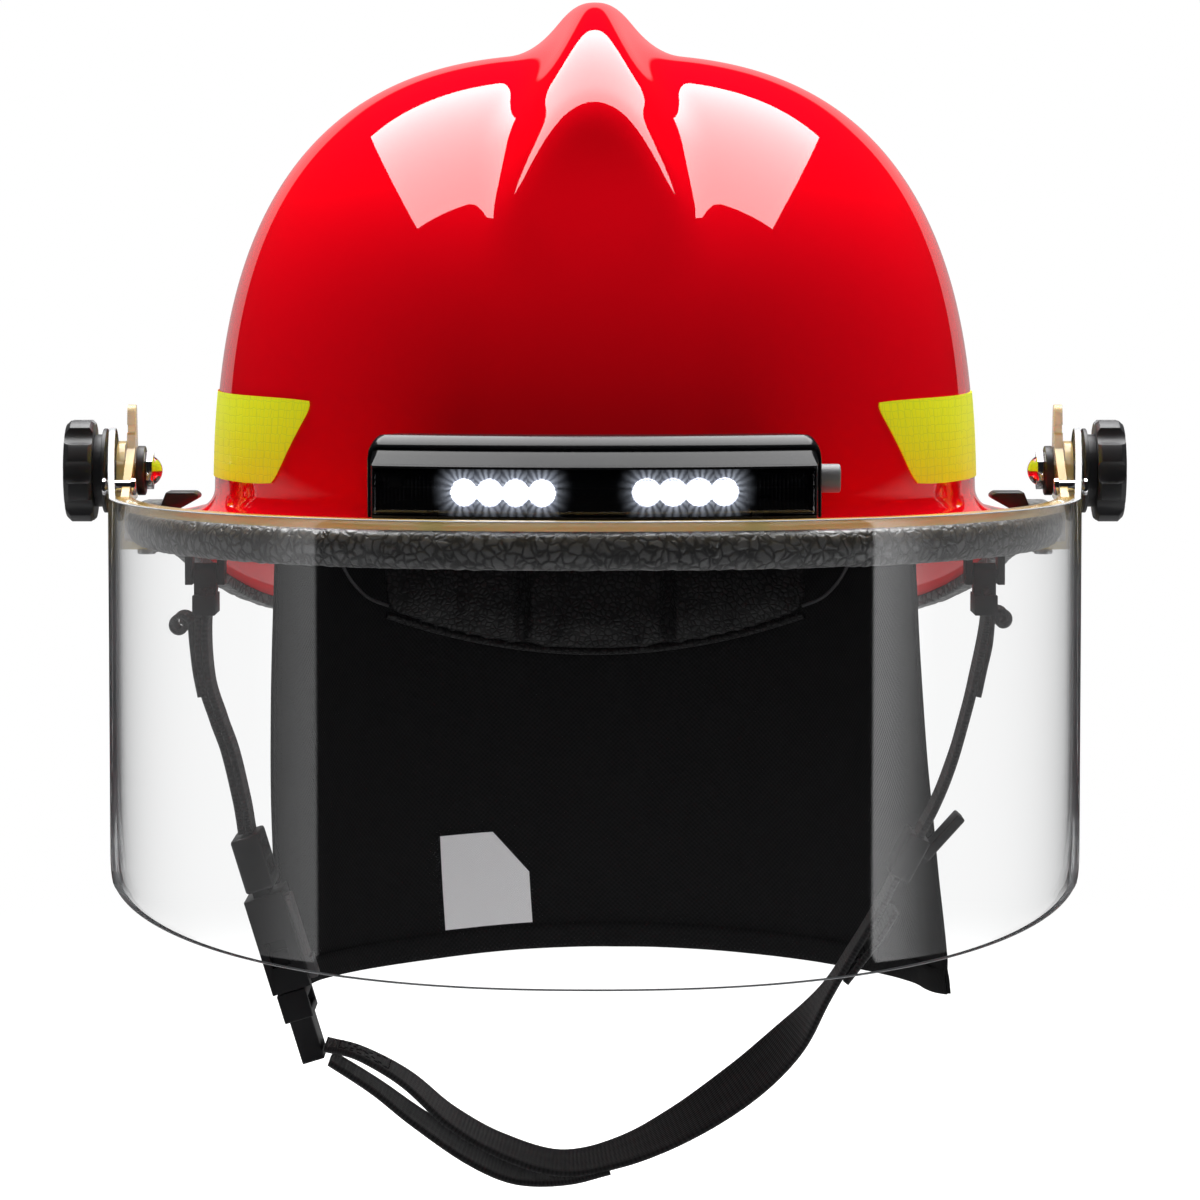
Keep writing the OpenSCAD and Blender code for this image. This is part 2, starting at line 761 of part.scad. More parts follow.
module hoop_arm() {
  difference() {
    across_x(arm_in, arm_out) {
      hull() {
        translate([-pivot_y, pivot_z]) circle(r = bracket_r - 0.6);
        translate([-rivet_y - 6, hoop_z + hoop_h / 2]) circle(r = hoop_h / 2);
      }
      hull() {
        translate([-pivot_y, pivot_z]) circle(r = 6);
        translate([-pivot_y, pivot_z + 17]) circle(r = 3);
      }
    }
    rod_x(100, 200, bolt_d + 2 * run_gap, -pivot_y, pivot_z);
    rod_x(100, 200, rivet_d + 2 * run_gap, -rivet_y, rivet_z);
    // Notch near the arm's tip
    across_x(arm_in - 1, arm_out + 1) translate([-pivot_y - 4, pivot_z + 11]) square([2.4, 3]);
  }
}

module visor_hoop() color("goldenrod", 0.7) {
  translate([0, 0, hoop_z]) linear_extrude(hoop_h) intersection() {
    lens_ring(hoop_w + 0.1, hoop_w);
    translate([-200, -300]) square([400, 300 - bar_rear_y]);
  }
  hoop_arm();
  mirror([1, 0, 0]) hoop_arm();
}

module hoop_rivet() {
  outside = oval_x(-rivet_y, lens_a, lens_f, lens_r, brim_n) + lens_t;
  rod_x(arm_in - 1, outside + 1, rivet_d, -rivet_y, rivet_z);
  rod_x(arm_in - 1.6, arm_in - 0.1, rivet_head_d, -rivet_y, rivet_z);
  rod_x(outside + 0.3, outside + 1.6, rivet_head_d, -rivet_y, rivet_z);
}

module hoop_rivets() color("silver") {
  hoop_rivet();
  mirror([1, 0, 0]) hoop_rivet();
}

foot_t = 2.4;
foot_z = trim_low_z - seat_gap;
foot_screw_x = trim_x - 6;

module visor_bracket(side) {
  both_sides(side) difference() {
    union() {
      across_x(bracket_in, bracket_out) {
        translate([-pivot_y, pivot_z]) circle(r = bracket_r);
        translate([-pivot_y - bracket_r, foot_z - foot_t]) square([2 * bracket_r, pivot_z - foot_z + foot_t]);
      }
      translate([foot_screw_x - 5, -pivot_y - bracket_r, foot_z - foot_t])
        cube([bracket_in - foot_screw_x + 5.5, 2 * bracket_r, foot_t]);
    }
    rod_x(100, 200, bolt_d + 2 * run_gap, -pivot_y, pivot_z);
    for (s = [-1, 1]) translate([foot_screw_x, -pivot_y + 4.5 * s, -50]) cylinder(h = 100, d = 3.2);
  }
}

module visor_bracket_left() color("goldenrod") visor_bracket(-1);

module visor_bracket_right() color("goldenrod") visor_bracket(1);

module bracket_screws() color("silver") {
  for (side = [-1, 1], s = [-1, 1]) translate([side * foot_screw_x, -pivot_y + 4.5 * s, 0]) {
    translate([0, 0, foot_z - foot_t]) cylinder(h = foot_t + seat_gap - 0.05, d = 3);
    translate([0, 0, foot_z - foot_t - 1.6]) cylinder(h = 1.6, d = 5.6);
  }
}

module pivot_bolt(side) {
  both_sides(side) rod_x(nut_in + 2, knob_out - 4, bolt_d, -pivot_y, pivot_z);
}

module pivot_bolt_left() color("silver") pivot_bolt(-1);

module pivot_bolt_right() color("silver") pivot_bolt(1);

module dome_nut(side) {
  both_sides(side) difference() {
    translate([washer_in - 0.05, -pivot_y, pivot_z]) rotate([0, -90, 0]) {
      cylinder(h = 2.4, d = 11.5, $fn = 6);
      intersection() {
        translate([0, 0, 0.2]) sphere(d = 9.6);
        cylinder(h = 6, d = 11);
      }
    }
    rod_x(nut_in + 1.9, 200, bolt_d + 2 * run_gap, -pivot_y, pivot_z);
  }
}

module dome_nut_left() color("silver") dome_nut(-1);

module dome_nut_right() color("silver") dome_nut(1);

module pivot_washer(side) {
  both_sides(side) difference() {
    rod_x(washer_in, washer_in + washer_t, 15, -pivot_y, pivot_z);
    rod_x(100, 200, bolt_d + 2 * run_gap, -pivot_y, pivot_z);
  }
}

module pivot_washer_left() color("black") pivot_washer(-1);

module pivot_washer_right() color("black") pivot_washer(1);

module knob(side) {
  both_sides(side) translate([knob_in, -pivot_y, pivot_z]) rotate([0, 90, 0]) difference() {
    rotate_extrude() polygon([
      [0, 0], [knob_d / 2 - 1, 0], [knob_d / 2, 1], [knob_d / 2, knob_h - 1.6],
      [knob_d / 2 - 1.6, knob_h], [8, knob_h], [7, knob_h - 1.5], [0, knob_h - 1.5]
    ]);
    for (i = [0:7]) rotate([0, 0, 45 * i]) translate([knob_d / 2 + 2.6, 0, -1])
      cylinder(h = knob_h + 2, d = 9);
    translate([0, 0, -1]) cylinder(h = knob_h - 2.9, d = bolt_d + 2 * run_gap);
  }
}

module knob_left() color("black") knob(-1);

module knob_right() color("black") knob(1);

module knob_hub(side) {
  both_sides(side) translate([hub_in, -pivot_y, pivot_z]) rotate([0, 90, 0]) difference() {
    union() {
      cylinder(h = 1.2, d = 25.6);
      translate([0, 0, 1.2]) cylinder(h = hub_t - 1.2, d = 22);
    }
    translate([0, 0, -1]) cylinder(h = hub_t + 2, d = bolt_d + 2 * run_gap);
  }
}

module knob_hub_left() color("black") knob_hub(-1);

module knob_hub_right() color("black") knob_hub(1);

// Ring sector of the lamp, from a drawing of radius and height
module lamp_sector(half_angle) {
  translate([0, lamp_cy, lamp_z]) rotate([0, 0, -90 - half_angle])
    rotate_extrude(angle = 2 * half_angle, $fn = 180) children();
}

lamp_angle = asin(lamp_half_w / lamp_r);

module lamp_back() {
  translate([0, lamp_back_r - lamp_back_y, lamp_z - 10]) cylinder(h = 60, r = lamp_back_r, $fn = 180);
}

module battery(side, d, l) {
  rotate_about = side * cell_turn;
  translate([0, lamp_cy, led_z + 1.2]) rotate([0, 0, rotate_about]) translate([-l / 2, -cell_r, 0])
    rotate([0, 90, 0]) cylinder(h = l, d = d);
}

module light_housing() color("black") {
  difference() {
    lamp_sector(lamp_angle) difference() {
      polygon([
        [lamp_inner_r, 0], [lamp_r, 0], [lamp_r, lamp_face_h], [lamp_top_r + 0.5, lamp_h - 4],
        [lamp_top_r, lamp_h], [lamp_inner_r, lamp_h]
      ]);
      translate([lamp_r - lamp_lens_t - 0.1, 1]) square([10, lamp_face_h - 1.5]);
    }
    lamp_back();
    // Chamber of the diodes and the bays of the two cells
    lamp_sector(lamp_angle - 2.5) translate([board_r - 0.5, 2]) square([10, lamp_face_h - 3]);
    for (side = [-1, 1]) battery(side, cell_d + 0.6, cell_l + 2);
    // Bore of the push button in the end
    rod_x(lamp_half_w - 9, lamp_half_w + 20, button_d + 2 * run_gap, lamp_button_y, led_z + 3);
    for (x = [-1, 1]) translate([x * lamp_foot_x, lamp_foot_y, lamp_z - 1])
      cylinder(h = 3.4, d = lamp_screw_d + 0.2);
  }
}

lamp_button_y = lamp_cy - sqrt(pow(lamp_r - 11, 2) - pow(lamp_half_w, 2));
lamp_foot_x = 45;
lamp_foot_y = lamp_cy - sqrt(pow(lamp_r - 7.5, 2) - lamp_foot_x * lamp_foot_x);

module light_lens() color("dimgray", 0.6) {
  lamp_sector(lamp_angle - 0.8) translate([lamp_r - lamp_lens_t, 1.1]) square([lamp_lens_t, lamp_face_h - 1.7]);
}

led_x = [for (s = [-1, 1], i = [0:led_count - 1]) s * (led_gap_x + i * led_pitch)];

module led_board() color("darkgreen") {
  lamp_sector(lamp_angle - 3) translate([board_r, 2.2]) square([1.4, lamp_face_h - 3.4]);
}

module light_leds() color("white") {
  for (x = led_x) {
    turn = asin(x / board_r);
    translate([0, lamp_cy, led_z]) rotate([0, 0, turn]) translate([0, -board_r - 1.45, 0])
      rotate([90, 0, 0]) {
        cylinder(h = 1, d = 6.6);
        translate([0, 0, 1]) cylinder(h = 2.7, d1 = 5, d2 = 6.6, $fn = 32);
      }
  }
}

module light_batteries() color("steelblue") {
  for (side = [-1, 1]) battery(side, cell_d, cell_l);
}

module light_button() color("dimgray") {
  rod_x(lamp_half_w - 6.5, lamp_half_w + 1.8, button_d, lamp_button_y, led_z + 3);
}

// Two posts carry the lamp above the brim, each with a short screw into its floor
post_low_z = brim_top_z + 0.85 * root_rise;
post_d = 7;
lamp_screw_d = 3;

module light_screws() color("silver") {
  for (side = [-1, 1]) translate([side * lamp_foot_x, lamp_foot_y, 0]) {
    translate([0, 0, post_low_z]) cylinder(h = lamp_z - post_low_z - 0.05, d = post_d);
    translate([0, 0, lamp_z - 0.05]) cylinder(h = 1.8, d = lamp_screw_d);
  }
}

// A clip on the brim follows the fillet of the shell with its underside
brim_clip_w = 14;
brim_clip_top_z = 12.4;
brim_clip_off = 0.55;

// The fillet stands farthest out at the clip's front end, so the clip is fitted there
brim_clip_root = brim_section(-8);

module brim_clip(side) {
  in_x = brim_clip_root[0][0] + brim_clip_off;
  both_sides(side) along_y(-hang_y - brim_clip_w / 2, -hang_y + brim_clip_w / 2) polygon([
    [in_x, brim_clip_root[0][1] + 0.08], brim_clip_root[1] + [0.2, 0.07],
    [edge_a - trim_cover - 0.6, brim_top_z + 0.5], [edge_a - trim_cover - 0.3, 8],
    [edge_a - trim_cover - 2, brim_clip_top_z], [in_x + 1.3, brim_clip_top_z], [in_x, brim_clip_top_z - 0.9]
  ]);
}

module brim_clip_left() color("black") brim_clip(-1);

module brim_clip_right() color("black") brim_clip(1);

hanger_top_z = brim_top_z - shell_wall - 0.15;
hanger_w = 26;
hanger_in_x = hanger_x - 6;
hanger_out_x = edge_a - trim_cover - 0.5;
plate_h = 3.2;

// A plate under the brim with two ears that hold the pin of the strap
module strap_hanger(side) {
  both_sides(side) difference() {
    union() {
      translate([hanger_in_x, -hang_y - hanger_w / 2, hanger_top_z - plate_h])
        cube([hanger_out_x - hanger_in_x, hanger_w, plate_h]);
      for (x = [hanger_in_x, hanger_x + 3.8]) translate([x, -hang_y - 5, hang_z - 3])
        cube([2.2, 10, hanger_top_z - hang_z]);
    }
    rod_x(50, 200, pin_d + 0.02, -hang_y, hang_z);
  }
  both_sides(side) rod_x(hanger_x - 5.9, hanger_x + 5.9, pin_d - 0.04, -hang_y, hang_z);
}

module strap_hanger_left() color("black") strap_hanger(-1);

module strap_hanger_right() color("black") strap_hanger(1);

// The eye at a strap's upper end turns on the hanger's pin and carries the folded webbing
module strap_eye(side) {
  both_sides(side) difference() {
    union() {
      rod_x(hanger_x - 3.4, hanger_x + 3.4, 7, -hang_y, hang_z);
      translate([hanger_x - 3.4, -hang_y - 3.5, hang_z - 7]) cube([6.8, 7, 7]);
      translate([hanger_x - 3.4, -hang_y - strap_w / 2 - 1, hang_z - 12]) cube([6.8, strap_w + 2, 6]);
    }
    rod_x(hanger_x - 10, hanger_x + 10, pin_d + 2 * run_gap, -hang_y, hang_z);
  }
}

flat_twist = [0, 0, 0, 0, 0, 0, 0];

module strap_left() color("black") {
  strap_eye(-1);
  webbing(left_route, flat_twist);
  webbing([for (p = left_route) [p[0] + strap_t + 0.2, p[1]]], flat_twist);
}

// Frame of the buckle: it hangs on the left strap and leans inwards
buckle_top_x = 108.2;
buckle_top = spread([[-buckle_top_x, -90]])[0];
buckle_lean = 17;

module in_buckle() {
  translate([buckle_top[0], -hang_y, buckle_top[1]]) rotate([0, -buckle_lean, 0]) children();
}

ladder_l = 20;
socket_l = 30;
buckle_w = 25;
socket_z = -ladder_l - 2 - socket_l;

// Head of the tongue, and the prongs that spring out in the side windows
tongue_head = 9;
tongue_top_z = socket_z - 0.4;
prong_y = 8.2;
prong_t = 1.6;

// Release lever and the pin that it turns on
lever_w = 11.2;
lever_l = 26.6;
lever_pin_d = 2;
lever_pin_l = 13.2;
lever_pin_x = 6.9;
lever_pin_z = socket_z + 25.4;

module buckle_ladder() color("black") {
  in_buckle() difference() {
    translate([-4, -buckle_w / 2, -ladder_l]) cube([9, buckle_w, ladder_l - 3]);
    translate([-1.8, -strap_w / 2 - 0.5, -ladder_l + 4]) cube([10, strap_w + 1, 4]);
    translate([-1.8, -strap_w / 2 - 0.5, -ladder_l + 11]) cube([10, strap_w + 1, 3]);
  }
}

module buckle_socket() color("black") {
  in_buckle() difference() {
    union() {
      translate([-5.5, -buckle_w / 2, socket_z]) cube([12, buckle_w, socket_l]);
      translate([-2.5, -strap_w / 2, -ladder_l - 2.1]) cube([5, strap_w, 2.05]);
    }
    translate([lever_pin_x, -lever_pin_l / 2 - 0.6, lever_pin_z]) rotate([-90, 0, 0])
      cylinder(h = lever_pin_l + 1.2, d = lever_pin_d + 2 * run_gap);
    // Mouth for the tongue, and the side windows of its prongs
    translate([-3, -9.5, socket_z - 1]) cube([6, 19, 22]);
    translate([-3, -20, socket_z + 8]) cube([6, 40, 8]);
    translate([4.3, -6, socket_z - 1]) cube([5, 12, 29]);
  }
}

// Release lever on the outer face, hinged at its upper end
module buckle_lever() color("gray") {
  in_buckle() {
    translate([lever_pin_x - 1.1, -lever_w / 2, socket_z + 1]) cube([2.2, lever_w, lever_l]);
    translate([lever_pin_x - 1.1, -lever_w / 2, socket_z + 1]) cube([3, lever_w, 6.5]);
    translate([lever_pin_x, -lever_pin_l / 2, lever_pin_z]) rotate([-90, 0, 0])
      cylinder(h = lever_pin_l, d = lever_pin_d);
  }
}

module buckle_tongue() color("black") {
  in_buckle() {
    translate([-tongue_head / 2, -buckle_w / 2, tongue_top_z - tongue_head]) difference() {
      cube([tongue_head, buckle_w, tongue_head]);
      translate([-1, 3, 2.5]) cube([tongue_head + 2, buckle_w - 6, 3.5]);
    }
    translate([-2.6, -7, socket_z - 0.5]) cube([5.2, 14, 16]);
    for (s = [-1, 1]) translate([-2.6, s * prong_y - prong_t / 2, socket_z - 0.5]) cube([5.2, prong_t, 13]);
    translate([-3.5, -8, tongue_top_z - tongue_head - 14]) cube([7, 16, 14.2]);
  }
}

module chin_web() color("black") {
  strap_eye(1);
  webbing(web_route, web_twist);
  webbing(under_route, under_twist);
}

// The layer of webbing that comes back from the slider
module web_return() color("black") webbing(return_route, [0, 0, 0, 0]);

slide_mid = web_route[adjuster_step];
slide_dir = heading([web_route[adjuster_step - 1], web_route[adjuster_step + 1]], 0);
slide_turn = atan2(slide_dir[0], slide_dir[1]);

module strap_adjuster() color("black") {
  translate([slide_mid[0], -hang_y, slide_mid[1]]) rotate([0, slide_turn, 0]) difference() {
    union() {
      translate([-3.4, -strap_w / 2 - 2.6, -7]) cube([6.8, strap_w + 5.2, 14]);
      // Finger tab
      translate([3, -7, 2]) rotate([0, 14, 0]) cube([3, 14, 17]);
    }
    translate([-strap_t / 2 - 0.4, -strap_w / 2 - 0.5, -8]) cube([strap_t + 0.8, strap_w + 1, 16]);
  }
}

// Plan of the curtain: it runs from one side round the back to the other
function curtain_path(s, v) =
  let (
    az = -10 + 200 * s,
    flare = curtain_flare * v,
    fold = fold_depth * v * sin(360 * fold_count * s) * (0.6 + 0.4 * cos(360 * s)),
    q = oval_r(az, curtain_x + flare, curtain_plan_f, curtain_rear_y + flare, curtain_n) + fold,
    y = q * sin(az)
  )
  [q * cos(az) + curtain_sway * v * v, max(y, -5), 0];

function curtain_low(s) = -curtain_drop + 4 * pow(abs(2 * s - 1), 2) + 2 * cos(720 * s);

function curtain_point(s, v, off) =
  let (
    p = curtain_path(s, v),
    a = curtain_path(s - 0.004, v),
    b = curtain_path(s + 0.004, v),
    d = (b - a) / norm(b - a)
  )
  [p[0] + d[1] * off, p[1] - d[0] * off, curtain_top_z + (curtain_low(s) - curtain_top_z) * v];

// A thin closed sheet from two faces of points, with quads round its four edges
module sheet_solid(front, back) {
  n = len(front[0]);
  m = len(front);
  far = n * m;
  points = concat([for (r = front) each r], [for (r = back) each r]);
  faces = concat(
    [for (j = [0:m - 2], i = [0:n - 2]) let (a = j * n + i) each [[a, a + 1, a + n + 1], [a, a + n + 1, a + n]]],
    [
      for (j = [0:m - 2], i = [0:n - 2])
        let (a = far + j * n + i)
        each [[a, a + n + 1, a + 1], [a, a + n, a + n + 1]]
    ],
    [for (i = [0:n - 2]) each [[i, far + i, far + i + 1], [i, far + i + 1, i + 1]]],
    [for (i = [0:n - 2]) let (a = far - n + i) each [[a, a + 1, far + a + 1], [a, far + a + 1, far + a]]],
    [for (j = [0:m - 2]) let (a = j * n) each [[a, a + n, far + a + n], [a, far + a + n, far + a]]],
    [for (j = [0:m - 2]) let (a = j * n + n - 1) each [[a, far + a, far + a + n], [a, far + a + n, a + n]]]
  );
  polyhedron(points, faces, convexity = 8);
}

// Share of the plan at which the cloth starts behind the front edge
curtain_start = (10 + asin(curtain_front_y / curtain_x)) / 200;

module neck_curtain() color("black") {
  heights = [for (j = [0:curtain_rows]) j / curtain_rows];
  places = [for (i = [0:curtain_cols]) curtain_start + (1 - 2 * curtain_start) * i / curtain_cols];
  front = [for (v = heights) [for (s = places) curtain_point(s, v, curtain_t / 2)]];
  back = [for (v = heights) [for (s = places) curtain_point(s, v, -curtain_t / 2)]];
  sheet_solid(front, back);
}

// The label lies on the inner face of the cloth
label_from = [0.556, 0.723];
label_to = [0.622, 0.939];
label_t = 0.4;

function label_row(v, off) = [
  for (i = [0:5]) curtain_point(label_from[0] + (label_to[0] - label_from[0]) * i / 5, v, off)
];

module curtain_label() color("white") {
  heights = [for (j = [0:4]) label_from[1] + (label_to[1] - label_from[1]) * j / 4];
  skin = -curtain_t / 2 - 0.15;
  sheet_solid([for (v = heights) label_row(v, skin)], [for (v = heights) label_row(v, skin - label_t)]);
}

module curtain_hook_strip() color("dimgray") {
  translate([0, 0, curtain_top_z]) linear_extrude(hook_strip_h) intersection() {
    difference() {
      polygon(oval(curtain_x + 1, curtain_plan_f, curtain_rear_y + 1, curtain_n));
      polygon(oval(curtain_x - 1, curtain_plan_f, curtain_rear_y - 1, curtain_n));
    }
    translate([-200, curtain_front_y]) square([400, 300]);
  }
  // Tabs that join the strip to the liner's underside
  for (az = [32, 58, 122, 148])
    let (q = oval_r(az, curtain_x, curtain_plan_f, curtain_rear_y, curtain_n))
      translate([q * cos(az), q * sin(az), curtain_top_z + 2])
        cylinder(h = liner_low_z - curtain_top_z - 2.1, d = 6);
}

ring_pin_z = brim_z(ring_y) - shell_wall - 7;
ring_ear_x = 10;

module hang_bracket() color("silver") {
  difference() {
    union() {
      translate([-ring_ear_x - 2, ring_y - 6, brim_z(ring_y) - shell_wall - 2.3])
        cube([2 * ring_ear_x + 4, 12, 2]);
      for (s = [-1, 1]) translate([s * ring_ear_x - 1, ring_y - 3, ring_pin_z - 3]) cube([2, 6, 8]);
    }
    rod_x(-20, 20, 3.02, ring_y, ring_pin_z);
  }
  rod_x(-ring_ear_x - 0.9, ring_ear_x + 0.9, 2.96, ring_y, ring_pin_z);
}

module hang_ring() color("silver") {
  difference() {
    union() {
      translate([0, ring_y - ring_t / 2, ring_pin_z - ring_r - 1])
        rotate([-90, 0, 0]) cylinder(h = ring_t, r = ring_r);
      rod_x(2.4 - ring_ear_x, ring_ear_x - 2.4, 5.4, ring_y, ring_pin_z);
    }
    translate([0, ring_y - 10, ring_pin_z - ring_r - 2.5]) rotate([-90, 0, 0]) cylinder(h = 20, r = ring_hole_r);
    rod_x(-20, 20, 3 + 2 * run_gap, ring_y, ring_pin_z);
  }
}

shell();
edge_trim();
reflective_patches();
impact_liner();
crown_strap_cross();
crown_strap_long();
suspension_clips();
headband();
brow_pad();
nape_pad();
ratchet_housing();
ratchet_knob();
ratchet_pinion();
rack_left();
rack_right();
visor_lens();
visor_hoop();
hoop_rivets();
visor_bracket_left();
visor_bracket_right();
bracket_screws();
pivot_bolt_left();
pivot_bolt_right();
dome_nut_left();
dome_nut_right();
pivot_washer_left();
pivot_washer_right();
knob_left();
knob_right();
knob_hub_left();
knob_hub_right();
light_housing();
light_lens();
led_board();
light_leds();
light_batteries();
light_button();
light_screws();
brim_clip_left();
brim_clip_right();
strap_hanger_left();
strap_hanger_right();
strap_left();
buckle_ladder();
buckle_socket();
buckle_lever();
buckle_tongue();
chin_web();
strap_adjuster();
web_return();
neck_curtain();
curtain_label();
curtain_hook_strip();
hang_bracket();
hang_ring();
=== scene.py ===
# %% [markdown]
# # A fire helmet, dressed around its frame
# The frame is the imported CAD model: every solid in its place, on the body that it
# moves with. This script keeps the hard parts, softens their edges, and makes the
# painted shell, the rubber, the webbing and the cloth as pieces of their own.

# %% Load the frame
import json
from math import asin, atan, atan2, cos, degrees, hypot, pi, radians, sin, sqrt

import bmesh
import bpy
from mathutils import Matrix, Vector, noise

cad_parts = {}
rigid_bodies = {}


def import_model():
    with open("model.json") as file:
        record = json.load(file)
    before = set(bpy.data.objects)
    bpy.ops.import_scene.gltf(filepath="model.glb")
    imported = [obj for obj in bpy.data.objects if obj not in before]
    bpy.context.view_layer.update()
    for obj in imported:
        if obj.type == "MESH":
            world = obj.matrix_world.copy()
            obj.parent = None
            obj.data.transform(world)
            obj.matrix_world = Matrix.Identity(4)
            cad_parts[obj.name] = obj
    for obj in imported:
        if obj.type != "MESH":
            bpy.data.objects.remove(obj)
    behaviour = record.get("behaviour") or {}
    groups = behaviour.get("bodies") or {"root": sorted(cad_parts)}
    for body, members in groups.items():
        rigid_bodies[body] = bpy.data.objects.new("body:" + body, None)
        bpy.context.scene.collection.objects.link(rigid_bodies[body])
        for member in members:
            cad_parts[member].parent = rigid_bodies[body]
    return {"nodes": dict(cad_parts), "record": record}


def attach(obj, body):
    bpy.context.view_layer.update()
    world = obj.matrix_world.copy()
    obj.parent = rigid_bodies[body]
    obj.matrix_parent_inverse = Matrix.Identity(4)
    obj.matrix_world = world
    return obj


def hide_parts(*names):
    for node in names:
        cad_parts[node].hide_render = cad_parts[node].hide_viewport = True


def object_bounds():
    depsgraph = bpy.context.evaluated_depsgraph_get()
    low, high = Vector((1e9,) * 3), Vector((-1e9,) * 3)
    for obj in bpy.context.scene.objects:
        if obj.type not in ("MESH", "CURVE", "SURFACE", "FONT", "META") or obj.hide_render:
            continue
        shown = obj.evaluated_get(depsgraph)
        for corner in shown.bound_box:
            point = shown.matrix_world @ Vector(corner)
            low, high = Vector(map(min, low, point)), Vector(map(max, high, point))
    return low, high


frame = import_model()
cad_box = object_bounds()
MM = 0.001
HELMET, VISOR = "helmet", "visor"

# %% [markdown]
# The camera stands one and a half metres in front, a little above the brim. A long
# lens keeps the shape of the helmet free of the bulge that a near view gives.

# %% Camera
SIGHT_DISTANCE = 1.5
SIGHT_RISE = radians(4)
FOCAL_LENGTH, SENSOR_WIDTH = 146.3, 36
AIM = Vector((0.00154, 0, -0.0215))

scene = bpy.context.scene
camera = bpy.data.objects.new("camera", bpy.data.cameras.new("camera"))
camera.data.lens, camera.data.sensor_width = FOCAL_LENGTH, SENSOR_WIDTH
camera.location = AIM + SIGHT_DISTANCE * Vector((0, -cos(SIGHT_RISE), sin(SIGHT_RISE)))
camera.rotation_euler = (pi / 2 - SIGHT_RISE, 0, 0)
scene.collection.objects.link(camera)
scene.camera = camera
scene.view_settings.view_transform = "Standard"
print("camera at", [round(v, 3) for v in camera.location])

# %% [markdown]
# A material is a tree of nodes, and long trees are hard to read in Python. So a small
# class wraps a socket and lets sums be written as sums: every sign makes one node.

# %% Sockets that can be added and multiplied
class Wire:
    """A socket that takes part in shader maths."""

    def __init__(self, tree, socket):
        self.tree = tree
        self.socket = socket

    def maths(self, operation, *values):
        return self.tree.node("Math", {"operation": operation}, dict(enumerate(values)))

    def __add__(self, other):
        return self.maths("ADD", self, other)

    def __sub__(self, other):
        return self.maths("SUBTRACT", self, other)

    def __rsub__(self, other):
        return self.maths("SUBTRACT", other, self)

    def __mul__(self, other):
        return self.maths("MULTIPLY", self, other)

    def __truediv__(self, other):
        return self.maths("DIVIDE", self, other)

    def __pow__(self, other):
        return self.maths("POWER", self, other)

    __radd__ = __add__
    __rmul__ = __mul__

    def sin(self):
        return self.maths("SINE", self)

    def size(self):
        return self.maths("ABSOLUTE", self)

    def above(self, limit, soft):
        """0 below the limit and 1 above it, with a soft step between."""
        step = {"interpolation_type": "SMOOTHSTEP"}
        return self.tree.node("MapRange", step, {0: self, 1: limit - soft, 2: limit + soft})


print("sockets take the signs + - * / **")

# %% [markdown]
# A second class holds a whole tree. One method makes any node from its type, its
# settings and its inputs. A few others make what nearly every finish needs:
# coordinates, mixtures, clouds and cells.

# %% A tree filled through one method
class Tree:
    """A node tree, emptied and filled through one method."""

    def __init__(self, tree):
        self.tree = tree
        tree.nodes.clear()

    def node(self, kind, settings=None, inputs=None, output=0):
        made = self.tree.nodes.new("ShaderNode" + kind)
        for key, value in (settings or {}).items():
            setattr(made, key, value)
        for key, value in (inputs or {}).items():
            self.join(made.inputs[key], value)
        return Wire(self, made.outputs[output]) if made.outputs else made

    def join(self, socket, value):
        if isinstance(value, Wire):
            self.tree.links.new(value.socket, socket)
        else:
            socket.default_value = value

    def coordinate(self, kind="Object"):
        return self.node("TexCoord", output=kind)

    def axes(self, kind="Object"):
        split = self.node("SeparateXYZ", inputs={0: self.coordinate(kind)})
        return [Wire(self, split.socket.node.outputs[i]) for i in range(3)]

    def mix(self, factor, first, second):
        return self.node("Mix", {"data_type": "RGBA"}, {0: factor, 6: first, 7: second}, 2)

    def blend(self, factor, first, second):
        return self.node("MixShader", inputs={0: factor, 1: first, 2: second})

    def cloud(self, scale, detail=2.0, rough=0.5, where=None):
        inputs = {"Scale": scale, "Detail": detail, "Roughness": rough, "Vector": where or self.coordinate()}
        return self.node("TexNoise", inputs=inputs)

    def cells(self, scale, feature="F1", where=None, random=1.0):
        inputs = {"Scale": scale, "Vector": where or self.coordinate(), "Randomness": random}
        return self.node("TexVoronoi", {"feature": feature}, inputs)


def rgb(r, g, b):
    return (r, g, b, 1)


WHITE = rgb(1, 1, 1)

print("shader helpers ready")

# %% [markdown]
# A lamp the size of a table hangs above and behind the helmet. One half of it is only
# mirrored and draws the three bright patches on the crown, the other only gives soft
# light. What gloss paint and clear sheet mirror besides is a studio: white walls below
# the helmet's height at both sides, brightest towards the front and on the right, a
# higher wall far behind, and black behind the camera. So the front panel is deep red,
# the dome has bright rims, and the clear shield turns grey only towards its sides.

# %% Room and lamps
DARK_FRONT, REAR_WALL_FROM, REAR_WALL_TOP, WALL_TOP = 0.40, 0.88, 0.32, 0.01
LAMP_HIGH, MIRRORED_LAMP_Y, SOFT_LAMP_Y = 1.35, 0.5, 0.7
world = bpy.data.worlds.new("room")
world.use_nodes = True
scene.world = world
room = Tree(world.node_tree)
sight = room.axes("Generated")
forward = 0 - sight[1]
ahead = forward.above(DARK_FRONT, 0.012)
behind = sight[1].above(REAR_WALL_FROM, 0.015)
walls = 1 - (sight[2] - REAR_WALL_TOP * behind).above(WALL_TOP, 0.02)
nearer = forward.above(0.2, 0.2) * (0.42 + 0.58 * sight[0].above(0.2, 0.2))
wall_light = room.mix(nearer, rgb(0.4, 0.4, 0.4), rgb(2.1, 2.1, 2.1))
mirrored = room.mix(walls * (1 - ahead), rgb(0.012, 0.012, 0.013), wall_light)
